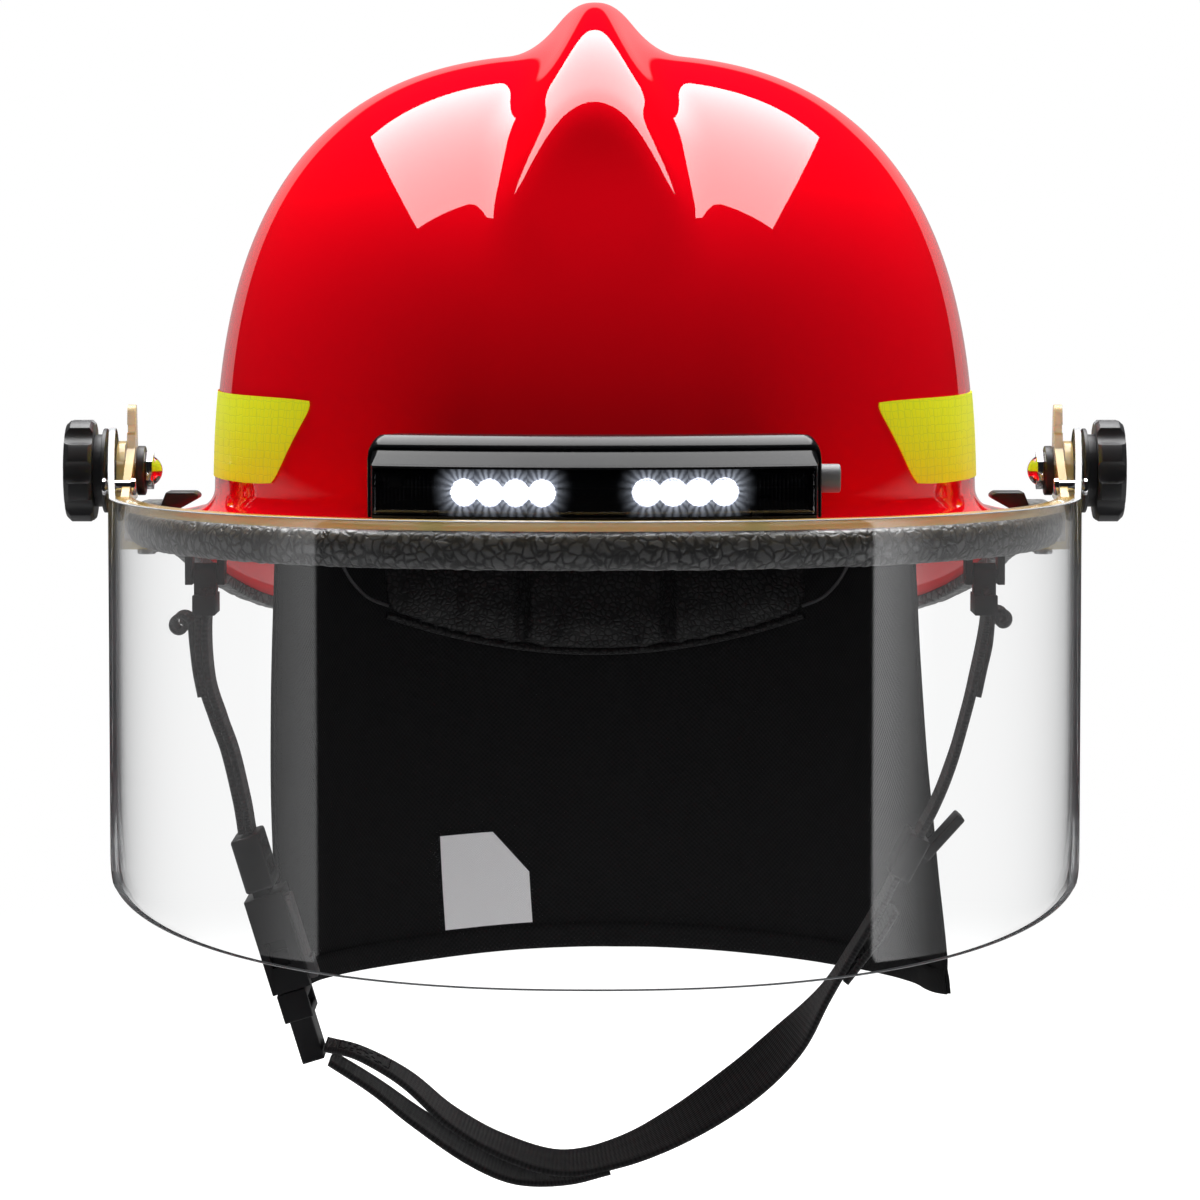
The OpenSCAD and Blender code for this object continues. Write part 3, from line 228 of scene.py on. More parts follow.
ambient = room.mix(forward.above(0.05, 0.45), rgb(0.46, 0.46, 0.46), rgb(0.06, 0.06, 0.063))
lit = room.mix(room.node("LightPath", output="Is Glossy Ray"), ambient, mirrored)
shown = room.mix(room.node("LightPath", output="Is Camera Ray"), lit, WHITE)
surface = room.node("Background", inputs={"Color": shown, "Strength": 1.0})
room.node("OutputWorld", inputs={"Surface": surface})


def area_lamp(name, place, aim, size, power, diffuse=True, glossy=True):
    lamp = bpy.data.lights.new(name, "AREA")
    lamp.shape = "RECTANGLE"
    lamp.size, lamp.size_y = size
    lamp.energy = power
    made = bpy.data.objects.new(name, lamp)
    made.location = place
    made.rotation_euler = (Vector(aim) - Vector(place)).to_track_quat("-Z", "Y").to_euler()
    made.visible_diffuse, made.visible_glossy = diffuse, glossy
    scene.collection.objects.link(made)


area_lamp("overhead", (0, SOFT_LAMP_Y, LAMP_HIGH), (0, 0.6, 0), (1.6, 1.0), 132, glossy=False)
area_lamp("overhead_sheen", (0, MIRRORED_LAMP_Y, LAMP_HIGH + MM), (0, MIRRORED_LAMP_Y, 0), (1.9, 1.5), 60,
          diffuse=False)
area_lamp("front_fill", (0, -2.6, 0.5), (0, 0, 0), (0.7, 0.7), 11, glossy=False)

# %% [markdown]
# Nearly every finish here is one Principled shader, because that one has the coat,
# the sheen and the see-through share that paint, cloth and amber need. A constant
# is typed into its own socket, and a pattern is joined to it by a link.

# %% A finish
class Finish(Tree):
    """A material with one Principled shader. Constants sit on its own sockets."""

    def __init__(self, name, sockets):
        self.material = bpy.data.materials.new(name)
        self.material.use_nodes = True
        super().__init__(self.material.node_tree)
        self.shader = self.node("BsdfPrincipled")
        self.set(sockets)
        self.outlet = self.node("OutputMaterial")
        self.join(self.outlet.inputs["Surface"], self.shader)

    def set(self, sockets):
        for key, value in sockets.items():
            self.join(self.shader.socket.node.inputs[key], value)

    def bump(self, height, distance):
        inputs = {"Height": height, "Distance": distance, "Strength": 1.0}
        self.set({"Normal": self.node("Bump", inputs=inputs)})

    def dress(self, factor, dark, light, rough, height, distance):
        """A colour between two, by a factor, with its roughness and its relief."""
        self.set({"Base Color": self.mix(factor, rgb(*dark), rgb(*light)), "Roughness": rough})
        self.bump(height, distance)


print("a finish is ready to be filled")

# %% [markdown]
# The floor is a pale sheet under the hanging helmet. For the camera it is mostly
# its own white light, and a little of the light that falls on it, so that a shadow
# still shows there. Farther off it fades to plain white. Mirrored rays pass through
# it, so that gloss and glass show the walls of the room below it too.

# %% Floor
FLOOR_BELOW, FLOOR_HALF, FADE_RADIUS, FADE_WIDTH = 0.03, 12, 0.5, 0.4
FLOOR_Z = cad_box[0][2] - FLOOR_BELOW
floor_finish = Finish("floor", {"Base Color": rgb(0.3, 0.3, 0.3), "Roughness": 0.9})
glow = floor_finish.node("Emission", inputs={"Color": WHITE, "Strength": 0.8})
near_floor = floor_finish.node("AddShader", inputs={0: floor_finish.shader, 1: glow})
far_floor = floor_finish.node("Emission", inputs={"Color": WHITE, "Strength": 1.0})
open_air = floor_finish.node("BsdfTransparent", inputs={"Color": WHITE})
east, north, _ = floor_finish.axes("Object")
far_off = ((east * east + north * north) ** 0.5).above(FADE_RADIUS, FADE_WIDTH)
is_camera = floor_finish.node("LightPath", output="Is Camera Ray")
is_glossy = floor_finish.node("LightPath", output="Is Glossy Ray")
underside = floor_finish.node("NewGeometry", output="Backfacing")
seen = floor_finish.blend(far_off, near_floor, far_floor)
shade = floor_finish.blend(is_camera, floor_finish.shader, seen)
shade = floor_finish.blend(is_glossy + underside, shade, open_air)
floor_finish.join(floor_finish.outlet.inputs["Surface"], shade)

bm = bmesh.new()
bmesh.ops.create_grid(bm, x_segments=1, y_segments=1, size=FLOOR_HALF)
bmesh.ops.translate(bm, verts=bm.verts, vec=(0, 0, FLOOR_Z))
floor_mesh = bpy.data.meshes.new("floor")
bm.to_mesh(floor_mesh)
bm.free()
floor = bpy.data.objects.new("floor", floor_mesh)
floor.data.materials.append(floor_finish.material)
scene.collection.objects.link(floor)
print("floor at", round(FLOOR_Z, 3), "m")

# %% [markdown]
# ## Finishes of the hard parts
# The shell is pressed composite under thick gloss paint. The paint is a clear coat
# over the red, with the faint waviness of sprayed paint and a few dull smudges.

# %% Paint
paint = Finish("red_paint", {"Coat Roughness": 0.015, "Coat IOR": 1.6, "Specular IOR Level": 0.0})
patchy = paint.cloud(7, 3)
smudge = paint.cloud(38, 4, 0.6)
paint.dress(patchy, (0.74, 0.0, 0.004), (0.82, 0.0005, 0.009), 0.28 + 0.12 * smudge,
            paint.cloud(160, 2), 0.00005)
paint.set({"Coat Weight": 0.85 + 0.15 * patchy})

liner_foam = Finish("liner_foam", {"Specular IOR Level": 0.3})
beads = liner_foam.cells(330)
liner_foam.dress(beads, (0.045, 0.045, 0.05), (0.02, 0.02, 0.022), 0.7 + 0.2 * beads, beads, 0.0003)

# %% [markdown]
# Moulded plastic is never one flat value: the tool leaves a fine grain, hands leave
# polished places. A helper makes each such finish from a colour and a roughness.

# %% Moulded plastics and metals
def moulded(name, dark, light, rough, grain=1400, depth=0.00003, sockets=None):
    made = Finish(name, sockets or {})
    wear = made.cloud(60, 4, 0.6)
    made.dress(wear, dark, light, rough + 0.18 * wear, made.cloud(grain, 2), depth)
    return made


def metal(name, colour, rough, brushed=0.0):
    made = Finish(name, {"Metallic": 1.0})
    scratch = made.cloud(900, 3, 0.7)
    wear = made.cloud(120, 3)
    worn = [0.82 * c for c in colour]
    made.dress(wear, colour, worn, rough + 0.1 * wear + brushed * scratch,
               scratch, 0.00001 + 0.00004 * brushed)
    return made


black_plastic = moulded("black_plastic", (0.012, 0.012, 0.013), (0.022, 0.022, 0.024), 0.34)
grey_plastic = moulded("grey_plastic", (0.12, 0.12, 0.125), (0.16, 0.16, 0.165), 0.4)
lever_grey = moulded("lever_grey", (0.13, 0.13, 0.135), (0.19, 0.19, 0.195), 0.36)
gloss_black = moulded("gloss_black", (0.004, 0.004, 0.005), (0.008, 0.008, 0.009), 0.08, 300, 0.00001,
                      {"Specular IOR Level": 0.25})
cell_sleeve = moulded("cell_sleeve", (0.03, 0.06, 0.16), (0.05, 0.09, 0.2), 0.3)
board_black = moulded("board_black", (0.01, 0.012, 0.012), (0.02, 0.022, 0.022), 0.3)
elastic_grey = moulded("elastic_grey", (0.05, 0.05, 0.052), (0.1, 0.1, 0.104), 0.5)
chrome = metal("chrome", (0.78, 0.78, 0.8), 0.05)
steel = metal("steel", (0.5, 0.5, 0.52), 0.22, 0.2)

# %% [markdown]
# The visor's hoop and side plates are a see-through amber moulding. A little of
# what lies behind shows, and the thick edges look darker because light travels
# farther inside them.

# %% Amber moulding
amber = Finish("amber", {"Roughness": 0.12, "IOR": 1.5, "Alpha": 0.62, "Coat Weight": 0.5})
haze = amber.cloud(45, 3)
depth_tone = amber.node("LayerWeight", inputs={"Blend": 0.4}, output="Facing")
body_tone = amber.mix(haze, rgb(0.8, 0.66, 0.3), rgb(0.7, 0.54, 0.2))
amber.set({"Base Color": amber.mix(depth_tone, body_tone, rgb(0.5, 0.3, 0.07))})
amber.bump(amber.cloud(220, 2), 0.00004)
print("hard finishes made:", len(bpy.data.materials))

# %% [markdown]
# The shield is clear sheet. Nearly all light goes straight through, and the rest
# is mirrored, more of it where the sheet is seen at a slant. Only its cut edge,
# two millimetres of plastic seen end on, draws a grey line.

# %% Clear sheet
def clear_sheet(name, tint, mirror, lit_by=None):
    made = Finish(name, {"Base Color": rgb(0.95, 0.95, 0.96), "Metallic": 1.0})
    rub = made.cloud(14, 4, 0.6)
    made.set({"Roughness": 0.015 + 0.03 * rub})
    slant = made.node("LayerWeight", inputs={"Blend": 0.5}, output="Facing")
    outer = 1 - made.node("NewGeometry", output="Backfacing")
    share = (0.05 + 0.95 * slant ** 5.0) * outer
    through = made.node("BsdfTransparent", inputs={"Color": rgb(*tint)})
    joined = made.blend(mirror * share, through, made.shader)
    if lit_by:
        joined = lit_by(made, joined)
    made.join(made.outlet.inputs["Surface"], joined)
    return made


lens_clear = clear_sheet("lens_clear", (0.995, 0.997, 0.997), mirror=1.7)
lens_edge = moulded("lens_edge", (0.22, 0.23, 0.24), (0.36, 0.37, 0.38), 0.12, 500, 0.00001)

# %% [markdown]
# The edge trim is black rubber that was cast against leather, so it carries a
# coarse grain of raised islands. Cells give the islands, and a cloud bends them
# out of their grid.

# %% Grained rubber
rubber = Finish("grained_rubber", {
    "Specular IOR Level": 0.7, "Coat Weight": 0.4, "Coat Roughness": 0.28,
})
bent = rubber.node("VectorMath", {"operation": "ADD"}, {
    0: rubber.coordinate(),
    1: rubber.node("VectorMath", {"operation": "SCALE"}, {
        0: rubber.node("TexNoise", inputs={"Vector": rubber.coordinate(), "Scale": 210.0}, output="Color"),
        "Scale": 0.0045,
    }),
})
islands = rubber.cells(330, "DISTANCE_TO_EDGE", where=bent)
raised = islands.above(0.13, 0.13)
rubber.dress(raised, (0.02, 0.02, 0.021), (0.09, 0.09, 0.092), 0.5 - 0.16 * raised, raised, 0.00035)

# %% [markdown]
# The bright patches are retroreflective sheet: tiny prisms under a clear skin,
# sealed in small cells whose walls show as a fine net. The sheet also glows faintly
# in its own colour, a painted glow for the light that the prisms send back.

# %% Reflective sheet
# The emission strength here is painted light: a faint glow of the sheet in its own colour.
reflective = Finish("reflective_sheet", {
    "Coat Weight": 0.08, "Coat Roughness": 0.12, "Roughness": 0.45, "Specular IOR Level": 0.1,
    "Emission Strength": 0.1,
})
net = reflective.cells(420, "DISTANCE_TO_EDGE", random=0.25).above(0.05, 0.03)
dust = reflective.cloud(30, 3)
sheet_tone_and_glow = reflective.mix(dust, rgb(0.78, 0.9, 0.006), rgb(0.86, 0.96, 0.01))
sheet_tone_and_glow = reflective.mix(net, rgb(0.7, 0.83, 0.02), sheet_tone_and_glow)
# The same tone colours the sheet and its painted glow.
reflective.set({"Base Color": sheet_tone_and_glow, "Emission Color": sheet_tone_and_glow})
reflective.bump(net, 0.00003)
print("skins made")

# %% [markdown]
# Woven goods follow the strip or the cloth that they are made into, so their
# patterns read the piece's own UV map, which is laid out in metres. Webbing has
# cross ribs about a millimetre apart and a raised selvedge.

# %% Webbing
RIB = 2 * pi / 0.0012


def webbing_finish(name, dark, light):
    made = Finish(name, {"Sheen Weight": 0.25, "Sheen Roughness": 0.5, "Specular IOR Level": 0.35})
    along, across, _ = made.axes("UV")
    ribs = 0.5 + 0.5 * (along * RIB).sin()
    yarns = 0.5 + 0.5 * ((across * 1.6 + along * 0.35) * RIB).sin()
    weave = 0.7 * ribs + 0.3 * yarns
    fuzz = made.cloud(260, 3)
    made.dress(weave * fuzz, dark, light, 0.62 + 0.2 * fuzz, weave, 0.00028)
    return made


webbing = webbing_finish("webbing", (0.006, 0.006, 0.007), (0.05, 0.05, 0.053))
harness = webbing_finish("harness_webbing", (0.014, 0.014, 0.015), (0.07, 0.07, 0.072))
print("ribs of the webbing are", round(2000 * pi / RIB, 2), "mm apart")

# %% [markdown]
# Cloth is a plain weave. Threads pass over and under each other in both directions,
# and the product of two waves draws just that. Slubs, the thick places of real yarn,
# make its tone uneven. The label gives a little light of its own, because less light
# reaches it here than in the photograph.

# %% Woven cloth
def woven(name, dark, light, thread, depth, sheen=0.3, shine=0.3, own_light=0.0):
    made = Finish(name, {
        "Sheen Weight": sheen, "Sheen Roughness": 0.45, "Specular IOR Level": shine,
        "Emission Color": rgb(0.9, 0.9, 0.95), "Emission Strength": own_light,
    })
    along, across, _ = made.axes("UV")
    turn = 2 * pi / thread
    warp = (along * turn).sin() * (across * turn).sin()
    slub = made.cloud(90, 4, 0.6)
    weave = 0.5 + 0.5 * warp
    made.dress(0.65 * weave + 0.35 * slub, dark, light, 0.75 + 0.15 * slub, weave + 0.6 * slub, depth)
    return made


curtain_cloth = woven("curtain_cloth", (0.009, 0.009, 0.0095), (0.026, 0.026, 0.027), 0.0016, 0.0002,
                      sheen=0.0, shine=0.06)
label_cloth = woven("label_cloth", (0.78, 0.78, 0.78), (0.9, 0.9, 0.9), 0.0008, 0.00004,
                    sheen=0.05, own_light=0.18)
tape_cloth = woven("tape_cloth", (0.01, 0.01, 0.011), (0.04, 0.04, 0.042), 0.0014, 0.0003)
print("woven finishes made")

# %% [markdown]
# The brow pad is covered with dark brown hide and the nape pad with coarser black
# leather. Both have raised islands between fine creases, and the distance to the
# edge of a cell gives them.

# %% Leather
hide = Finish("hide", {"Specular IOR Level": 0.4})
pores = hide.cells(800, "DISTANCE_TO_EDGE").above(0.1, 0.1)
hide.dress(hide.cloud(40, 3), (0.02, 0.015, 0.013), (0.04, 0.03, 0.025), 0.6 - 0.15 * pores,
           pores, 0.00012)

pad_leather = Finish("pad_leather", {"Specular IOR Level": 0.45})
pebbles = pad_leather.cells(560, "DISTANCE_TO_EDGE").above(0.14, 0.12)
pad_leather.dress(pebbles, (0.006, 0.006, 0.0065), (0.02, 0.02, 0.021), 0.62 - 0.16 * pebbles,
                  pebbles, 0.00022)
print("materials so far:", len(bpy.data.materials))

# %% [markdown]
# ## How a piece is made
# Most pieces start from a flat grid whose points are moved to where a formula puts
# them: once round the shell and down its wall, or along a strap and round its
# section. The grid also gives each face its place in metres for the weave.

# %% Points and grids
def polar(r, az, z):
    """A point, in metres, from a radius, an angle and a height in mm."""
    return Vector((r * cos(az), r * sin(az), z)) * MM


def pillow(u, v, curve_a, curve_b, power_b=8, power_a=8):
    """A square from -1 to 1 whose corners are pulled in along a rounded outline."""
    a, b = 2 * u - 1, 2 * v - 1
    return a * sqrt(1 - curve_a * b ** power_b), b * sqrt(1 - curve_b * a ** power_a)


def thicken(bm, thickness, recalculate=True):
    if recalculate:
        bmesh.ops.recalc_face_normals(bm, faces=bm.faces)
    bmesh.ops.solidify(bm, geom=bm.faces, thickness=thickness * MM)


def all_of(bm):
    return bm.verts[:] + bm.edges[:] + bm.faces[:]


def from_grid(cols, rows, place, span=(1.0, 1.0), merge=0.0):
    bm = bmesh.new()
    bmesh.ops.create_grid(bm, x_segments=cols, y_segments=rows, size=0.5)
    layer = bm.loops.layers.uv.new("UVMap")
    for face in bm.faces:
        for loop in face.loops:
            x, y, _ = loop.vert.co
            loop[layer].uv = ((x + 0.5) * span[0], (y + 0.5) * span[1])
    for vert in bm.verts:
        vert.co = place(vert.co.x + 0.5, vert.co.y + 0.5)
    if merge:
        bmesh.ops.remove_doubles(bm, verts=bm.verts, dist=merge)
        bmesh.ops.recalc_face_normals(bm, faces=bm.faces)
    return bm


print("grid helpers ready")

# %% [markdown]
# A mesh becomes an object with one finish. It is attached to the body that it moves
# with, and the CAD nodes that it stands for are hidden. Edges above a given angle stay
# sharp, because smooth shading would blur them.

# %% A piece
def piece(name, bm, finish, body=HELMET, stands_for=(), slot=None, flat_above=None):
    mesh = bpy.data.meshes.new(name)
    bm.to_mesh(mesh)
    bm.free()
    mesh.materials.append(finish.material)
    mesh.shade_smooth()
    if flat_above:
        mesh.set_sharp_from_angle(angle=radians(flat_above))
    made = bpy.data.objects.new(name, mesh)
    scene.collection.objects.link(made)
    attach(made, body)
    if stands_for:
        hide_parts(*stands_for)
    return made


def close_ends(bm):
    open_edges = [e for e in bm.edges if e.is_boundary]
    bmesh.ops.holes_fill(bm, edges=open_edges)
    bmesh.ops.recalc_face_normals(bm, faces=bm.faces)


print("piece helpers ready")

# %% [markdown]
# Hard parts start from the CAD mesh itself, so that holes and seats stay where they
# fit. A bevel modifier could round their edges too, but a mesh that is cut off at a
# height, as the two strap eyes are, has to be closed before it is rounded.

# %% Softened CAD nodes
BODY_OF = {n: b for b, names in frame["record"]["behaviour"]["bodies"].items() for n in names}
SLOT_OF = {s["node"]: s["material_slot"] for s in frame["record"]["subparts"]}
SHARP_ANGLE, BEVEL_SEGMENTS = 32, 2


def softened(node, finish, bevel, name=None, keep_above=None):
    """A copy of a CAD node whose sharp edges are rounded as a mould rounds them."""
    bm = bmesh.new()
    bm.from_mesh(frame["nodes"][node].data)
    bmesh.ops.remove_doubles(bm, verts=bm.verts, dist=0.00002)
    bmesh.ops.dissolve_limit(bm, angle_limit=radians(1), verts=bm.verts, edges=bm.edges)
    if keep_above is not None:
        bmesh.ops.bisect_plane(bm, geom=all_of(bm), dist=1e-6, plane_co=(0, 0, keep_above * MM),
                               plane_no=(0, 0, -1), clear_outer=True)
        close_ends(bm)
    joins = [e for e in bm.edges if len(e.link_faces) == 2]
    sharp = [e for e in joins if e.calc_face_angle() > radians(SHARP_ANGLE)]
    bmesh.ops.bevel(bm, geom=sharp, offset=bevel * MM, segments=BEVEL_SEGMENTS, affect="EDGES",
                    profile=0.5, material=-1, clamp_overlap=True)
    return piece(name or node + "_soft", bm, finish, BODY_OF[node], (node,), SLOT_OF[node], SHARP_ANGLE)


print("bodies named for", len(BODY_OF), "nodes")

# %% [markdown]
# ## Shell
# The pressing is a dome with a crest from front to back and a flat panel on its
# brow. Each form is a distance from the middle of the head opening, and they are
# blended with a rounded maximum, as a pressing rounds every inner corner.

# %% Measures of the shell
HALF_W, FRONT, REAR, HEIGHT, WALL = 116.0, 134.0, 142.0, 145.5, 3.0
CREST_H, CREST_SHOULDER, CREST_HALF_W = HEIGHT + 15.5, 5.5, 11.0
CREST_FRONT, CREST_REAR, CREST_BOW = FRONT + 14, REAR + 2, 58.0
PANEL_FOOT_Y, PANEL_FOOT_Z, PANEL_TOP_Y, PANEL_TOP_Z = FRONT + 6, 20.0, 90.0, 128.5
PANEL_HALF_W, PANEL_BOW, RIDGE_FOOT_Z, FLANK_TURN = 79.0, 135.0, 37.0, 0.15
RIDGE_ROUND, VALLEY_ROUND, CREST_SOFT, FAR = 4.0, 10.0, 0.02, 400.0
PANEL_CRISP, PANEL_SOFT, CRISP_ABOVE, SOFTENS_OVER = 4.0, 15.0, radians(46), 0.25
DOME_N, SIDE_N, FRONT_N, REAR_N, PANEL_N, EDGE_N = 2.2, 2.75, 2.1, 2.3, 2.2, 2.3
BRIM_TOP, BRIM_DROP, BRIM_BENDS, BRIM_BEND, TRIM_COVER, FILLET = 5.1, 36.0, 10, 150, 7.0, 7.0
EDGE_A, EDGE_F, EDGE_R = HALF_W + 23.5, FRONT + 37, REAR + 40

run, climb = PANEL_FOOT_Y - PANEL_TOP_Y, PANEL_TOP_Z - PANEL_FOOT_Z
slant = hypot(run, climb)
PANEL_NY, PANEL_NZ = climb / slant, run / slant
PANEL_OFF = PANEL_NY * PANEL_FOOT_Y + PANEL_NZ * PANEL_FOOT_Z
ridge_spread = PANEL_HALF_W + FLANK_TURN * 0.88 * FRONT - CREST_HALF_W
FLANK_S = ridge_spread / (CREST_H - CREST_SHOULDER - RIDGE_FOOT_Z)
FLANK_C = CREST_HALF_W + FLANK_S * (CREST_H - CREST_SHOULDER)
print("front panel leans back by", round(degrees(atan(run / climb))), "degrees")

# %% [markdown]
# The dome is an ellipse with rounder shoulders, by a power that changes from its
# sides to its front and back. The crest is the nearest of three surfaces along a ray:
# its bowed top, its flanks, and the flat front panel. A rounded minimum softens the
# ridge between two of them, as a pressing would.

# %% Formulas of the shell
def ease(t):
    u = min(max(t, 0), 1)
    return u * u * (3 - 2 * u)


def smooth_max(a, b, k):
    h = max(k - abs(a - b), 0) / k
    return max(a, b) + h * h * k / 4


def smooth_min(a, b, k):
    return -smooth_max(-a, -b, k)


def oval_r(az, a, f, r, n):
    c, s = abs(cos(az)) / a, abs(sin(az)) / (f if sin(az) < 0 else r)
    return (c ** n + s ** n) ** (-1 / n)


def dome_r(az, el):
    plan = oval_r(az, HALF_W, FRONT, REAR, DOME_N)
    n = SIDE_N + ((FRONT_N if sin(az) < 0 else REAR_N) - SIDE_N) * sin(az) ** 2
    return ((abs(cos(el)) / plan) ** n + (max(sin(el), 0) / HEIGHT) ** n) ** (-1 / n)


def crest_r(az, el):
    x, y, z = abs(cos(el) * cos(az)), cos(el) * sin(az), max(sin(el), 0)
    reach = CREST_FRONT if y < 0 else CREST_REAR
    top = ((abs(y) / reach) ** 2 + (z / CREST_H) ** 2 + (x / CREST_BOW) ** 2) ** -0.5
    flank = FLANK_C / (hypot(x, CREST_SOFT) + FLANK_S * z + FLANK_TURN * max(-y, 0))
    facing = max(-PANEL_NY * y + PANEL_NZ * z, 0.001)
    panel = ((facing / PANEL_OFF) ** PANEL_N + (x / PANEL_BOW) ** PANEL_N) ** (-1 / PANEL_N)
    crest = smooth_min(top, min(flank, FAR), RIDGE_ROUND)
    softness = PANEL_CRISP + (PANEL_SOFT - PANEL_CRISP) * ease((CRISP_ABOVE - el) / SOFTENS_OVER)
    return smooth_min(crest, min(panel, FAR), softness)


def shell_r(az, el):
    return smooth_max(dome_r(az, el), crest_r(az, el), VALLEY_ROUND)


def shell_at(az, el, off=0.0):
    q = shell_r(az, el) + off
    return polar(q * cos(el), az, q * sin(el))


def brim_z(y):
    return BRIM_TOP - BRIM_DROP * ease((y - BRIM_BENDS) / BRIM_BEND)


def base_el(az):
    q = oval_r(az, HALF_W, FRONT, REAR, DOME_N)
    return atan((brim_z(q * sin(az)) + FILLET + 2) / q)


print("crown at", round(shell_r(0, pi / 2), 1), "mm")

# %% [markdown]
# A line down the wall starts at the crown, runs down the outside, rounds the
# fillet, goes out along the brim, turns at its edge and comes back up the inside.
# Every column of the grid is one such line, so the shell is one closed skin.

# %% Shell piece
OUTER_ROWS, INNER_ROWS, CROWN_DENSER = 110, 44, 1.15
FILLET_STEPS, BRIM_STEPS = 10, 8


def wall_line(az):
    foot_el = base_el(az)
    levels = [pi / 2 - (pi / 2 - foot_el) * (k / OUTER_ROWS) ** CROWN_DENSER for k in range(OUTER_ROWS + 1)]
    line = [(shell_r(az, el) * cos(el), shell_r(az, el) * sin(el)) for el in levels]
    foot, foot_z = line[-1]
    edge = oval_r(az, EDGE_A, EDGE_F, EDGE_R, EDGE_N)
    edge_z = brim_z(edge * sin(az))
    for k in range(1, FILLET_STEPS):
        turn = radians(90 / FILLET_STEPS * k)
        line.append((foot + FILLET * (1 - cos(turn)), foot_z - FILLET * sin(turn)))
    start, start_z = line[-1]
    for k in range(1, BRIM_STEPS + 1):
        rise = sin(pi * k / (2 * BRIM_STEPS)) ** 0.8
        line.append((start + (edge - start) * k / BRIM_STEPS, start_z + (edge_z - start_z) * rise))
    line += [(edge, edge_z - WALL), (edge - 8, edge_z - WALL), (foot + 6, foot_z - FILLET - WALL)]
    line.append((foot - 0.6, foot_z - 0.6 * FILLET - WALL))
    for k in range(INNER_ROWS + 1):
        el = foot_el + (pi / 2 - foot_el) * k / INNER_ROWS
        q = shell_r(az, el) - WALL
        line.append((q * cos(el), q * sin(el)))
    return line


SHELL_COLS = 300
lines = [wall_line(2 * pi * i / SHELL_COLS) for i in range(SHELL_COLS)]
LAST = len(lines[0]) - 1


def shell_place(u, v):
    i = round(u * SHELL_COLS) % SHELL_COLS
    r, z = lines[i][round(v * LAST)]
    az = 2 * pi * i / SHELL_COLS
    return polar(r, az, z)


bm = from_grid(SHELL_COLS, LAST, shell_place, merge=0.00001)
shell = piece("shell_skin", bm, paint, HELMET, ("shell",), "shell_red", flat_above=50)
print("shell has", len(shell.data.polygons), "faces")

# %% [markdown]
# ## Edge trim
# The trim is pushed over the brim and grips it with two lips. It is thick enough
# to carry a real grain: the grid is fine, and each point of its outer side moves
# out a little where a cloud of noise is high.

# %% Trim piece
TRIM_H, TRIM_OUT, TRIM_FLAT, LIP, NOSE_STEPS = 10.8, 2.5, 4.7, 0.2, 18
GRAIN_FINE, COARSE_GRAIN, FINE_GRAIN, GRAIN_SUNK = 0.42, 0.28, 0.16, 0.16


def trim_outline():
    """The trim's section, counted out from the brim's edge and up from its middle."""
    half, slot_half, back = TRIM_H / 2, WALL / 2 + LIP, -TRIM_COVER
    flat = [(back, half - 0.9), (back + 0.35, half - 0.25), (back + 1.1, half)]
    flat += [(back + 1.1 + TRIM_FLAT * k / 6, half) for k in range(1, 6)]
    nose = []
    for k in range(NOSE_STEPS + 1):
        turn = pi * (0.5 - k / NOSE_STEPS)
        nose.append((-1.2 + (TRIM_OUT + 1.2) * abs(cos(turn)) ** 0.9, half * sin(turn)))
    under = [(back + 1.1 + TRIM_FLAT * (1 - k / 6), -half) for k in range(1, 6)]
    under += [(back + 1.1, -half), (back + 0.35, -half + 0.25), (back, -half + 0.9)]
    return flat + nose + under + [(back, -slot_half), (LIP, -slot_half), (LIP, slot_half), (back, slot_half)]


outline = trim_outline()
TRIM_COLS, TRIM_ROWS = 900, len(outline)
GRAINED_ROWS = range(2, TRIM_ROWS - 6)


def trim_place(u, v):
    az = 2 * pi * u
    k = round(v * TRIM_ROWS) % TRIM_ROWS
    out, up = outline[k]
    edge = oval_r(az, EDGE_A, EDGE_F, EDGE_R, EDGE_N)
    grain = 0.0
    if k in GRAINED_ROWS:
        spot = Vector((cos(az) * edge, sin(az) * edge, up)) * GRAIN_FINE
        grain = COARSE_GRAIN * noise.noise(spot) + FINE_GRAIN * noise.noise(2.3 * spot) - GRAIN_SUNK
    reach = hypot(out + TRIM_OUT, up)
    out, up = out + grain * (out + TRIM_OUT) / reach, up + grain * up / reach
    z = brim_z(edge * sin(az)) - WALL / 2 + up
    return polar(edge + out, az, z)


bm = from_grid(TRIM_COLS, TRIM_ROWS, trim_place, merge=0.000005)
trim = piece("grained_trim", bm, rubber, HELMET, ("edge_trim",), "trim_rubber", flat_above=60)
print("trim has", len(trim.data.polygons), "faces")

# %% [markdown]
# ## Reflective patches
# Each patch is one thin sheet with its corners rounded by a cutter, laid on the
# flank of the shell. Four of them go round the helmet.

# %% Patches
PATCH_HIGH, PATCH_LOW, PATCH_T, PATCH_GAP = 43.5, 17.8, 0.4, 0.45
PATCH_STEP, PATCH_BACK, PATCH_AHEAD, PATCH_SLANT, PATCH_SPAN = 66, -13, 51, 8, (0.11, 0.026)


def patch_place(turned, side):
    def place(u, v):
        a, b = pillow(u, v, 0.055, 0.09)
        u, v = (a + 1) / 2, (b + 1) / 2
        back, ahead = PATCH_BACK + PATCH_SLANT * v, PATCH_AHEAD - PATCH_SLANT * v
        az = radians(turned - back - (ahead - back) * u)
        z = PATCH_HIGH + (PATCH_LOW - PATCH_HIGH) * v
        el = atan(z / oval_r(az, HALF_W, FRONT, REAR, DOME_N))
        point = shell_at(az, el, PATCH_GAP)
        return Vector((side * point.x, point.y, point.z))
    return place


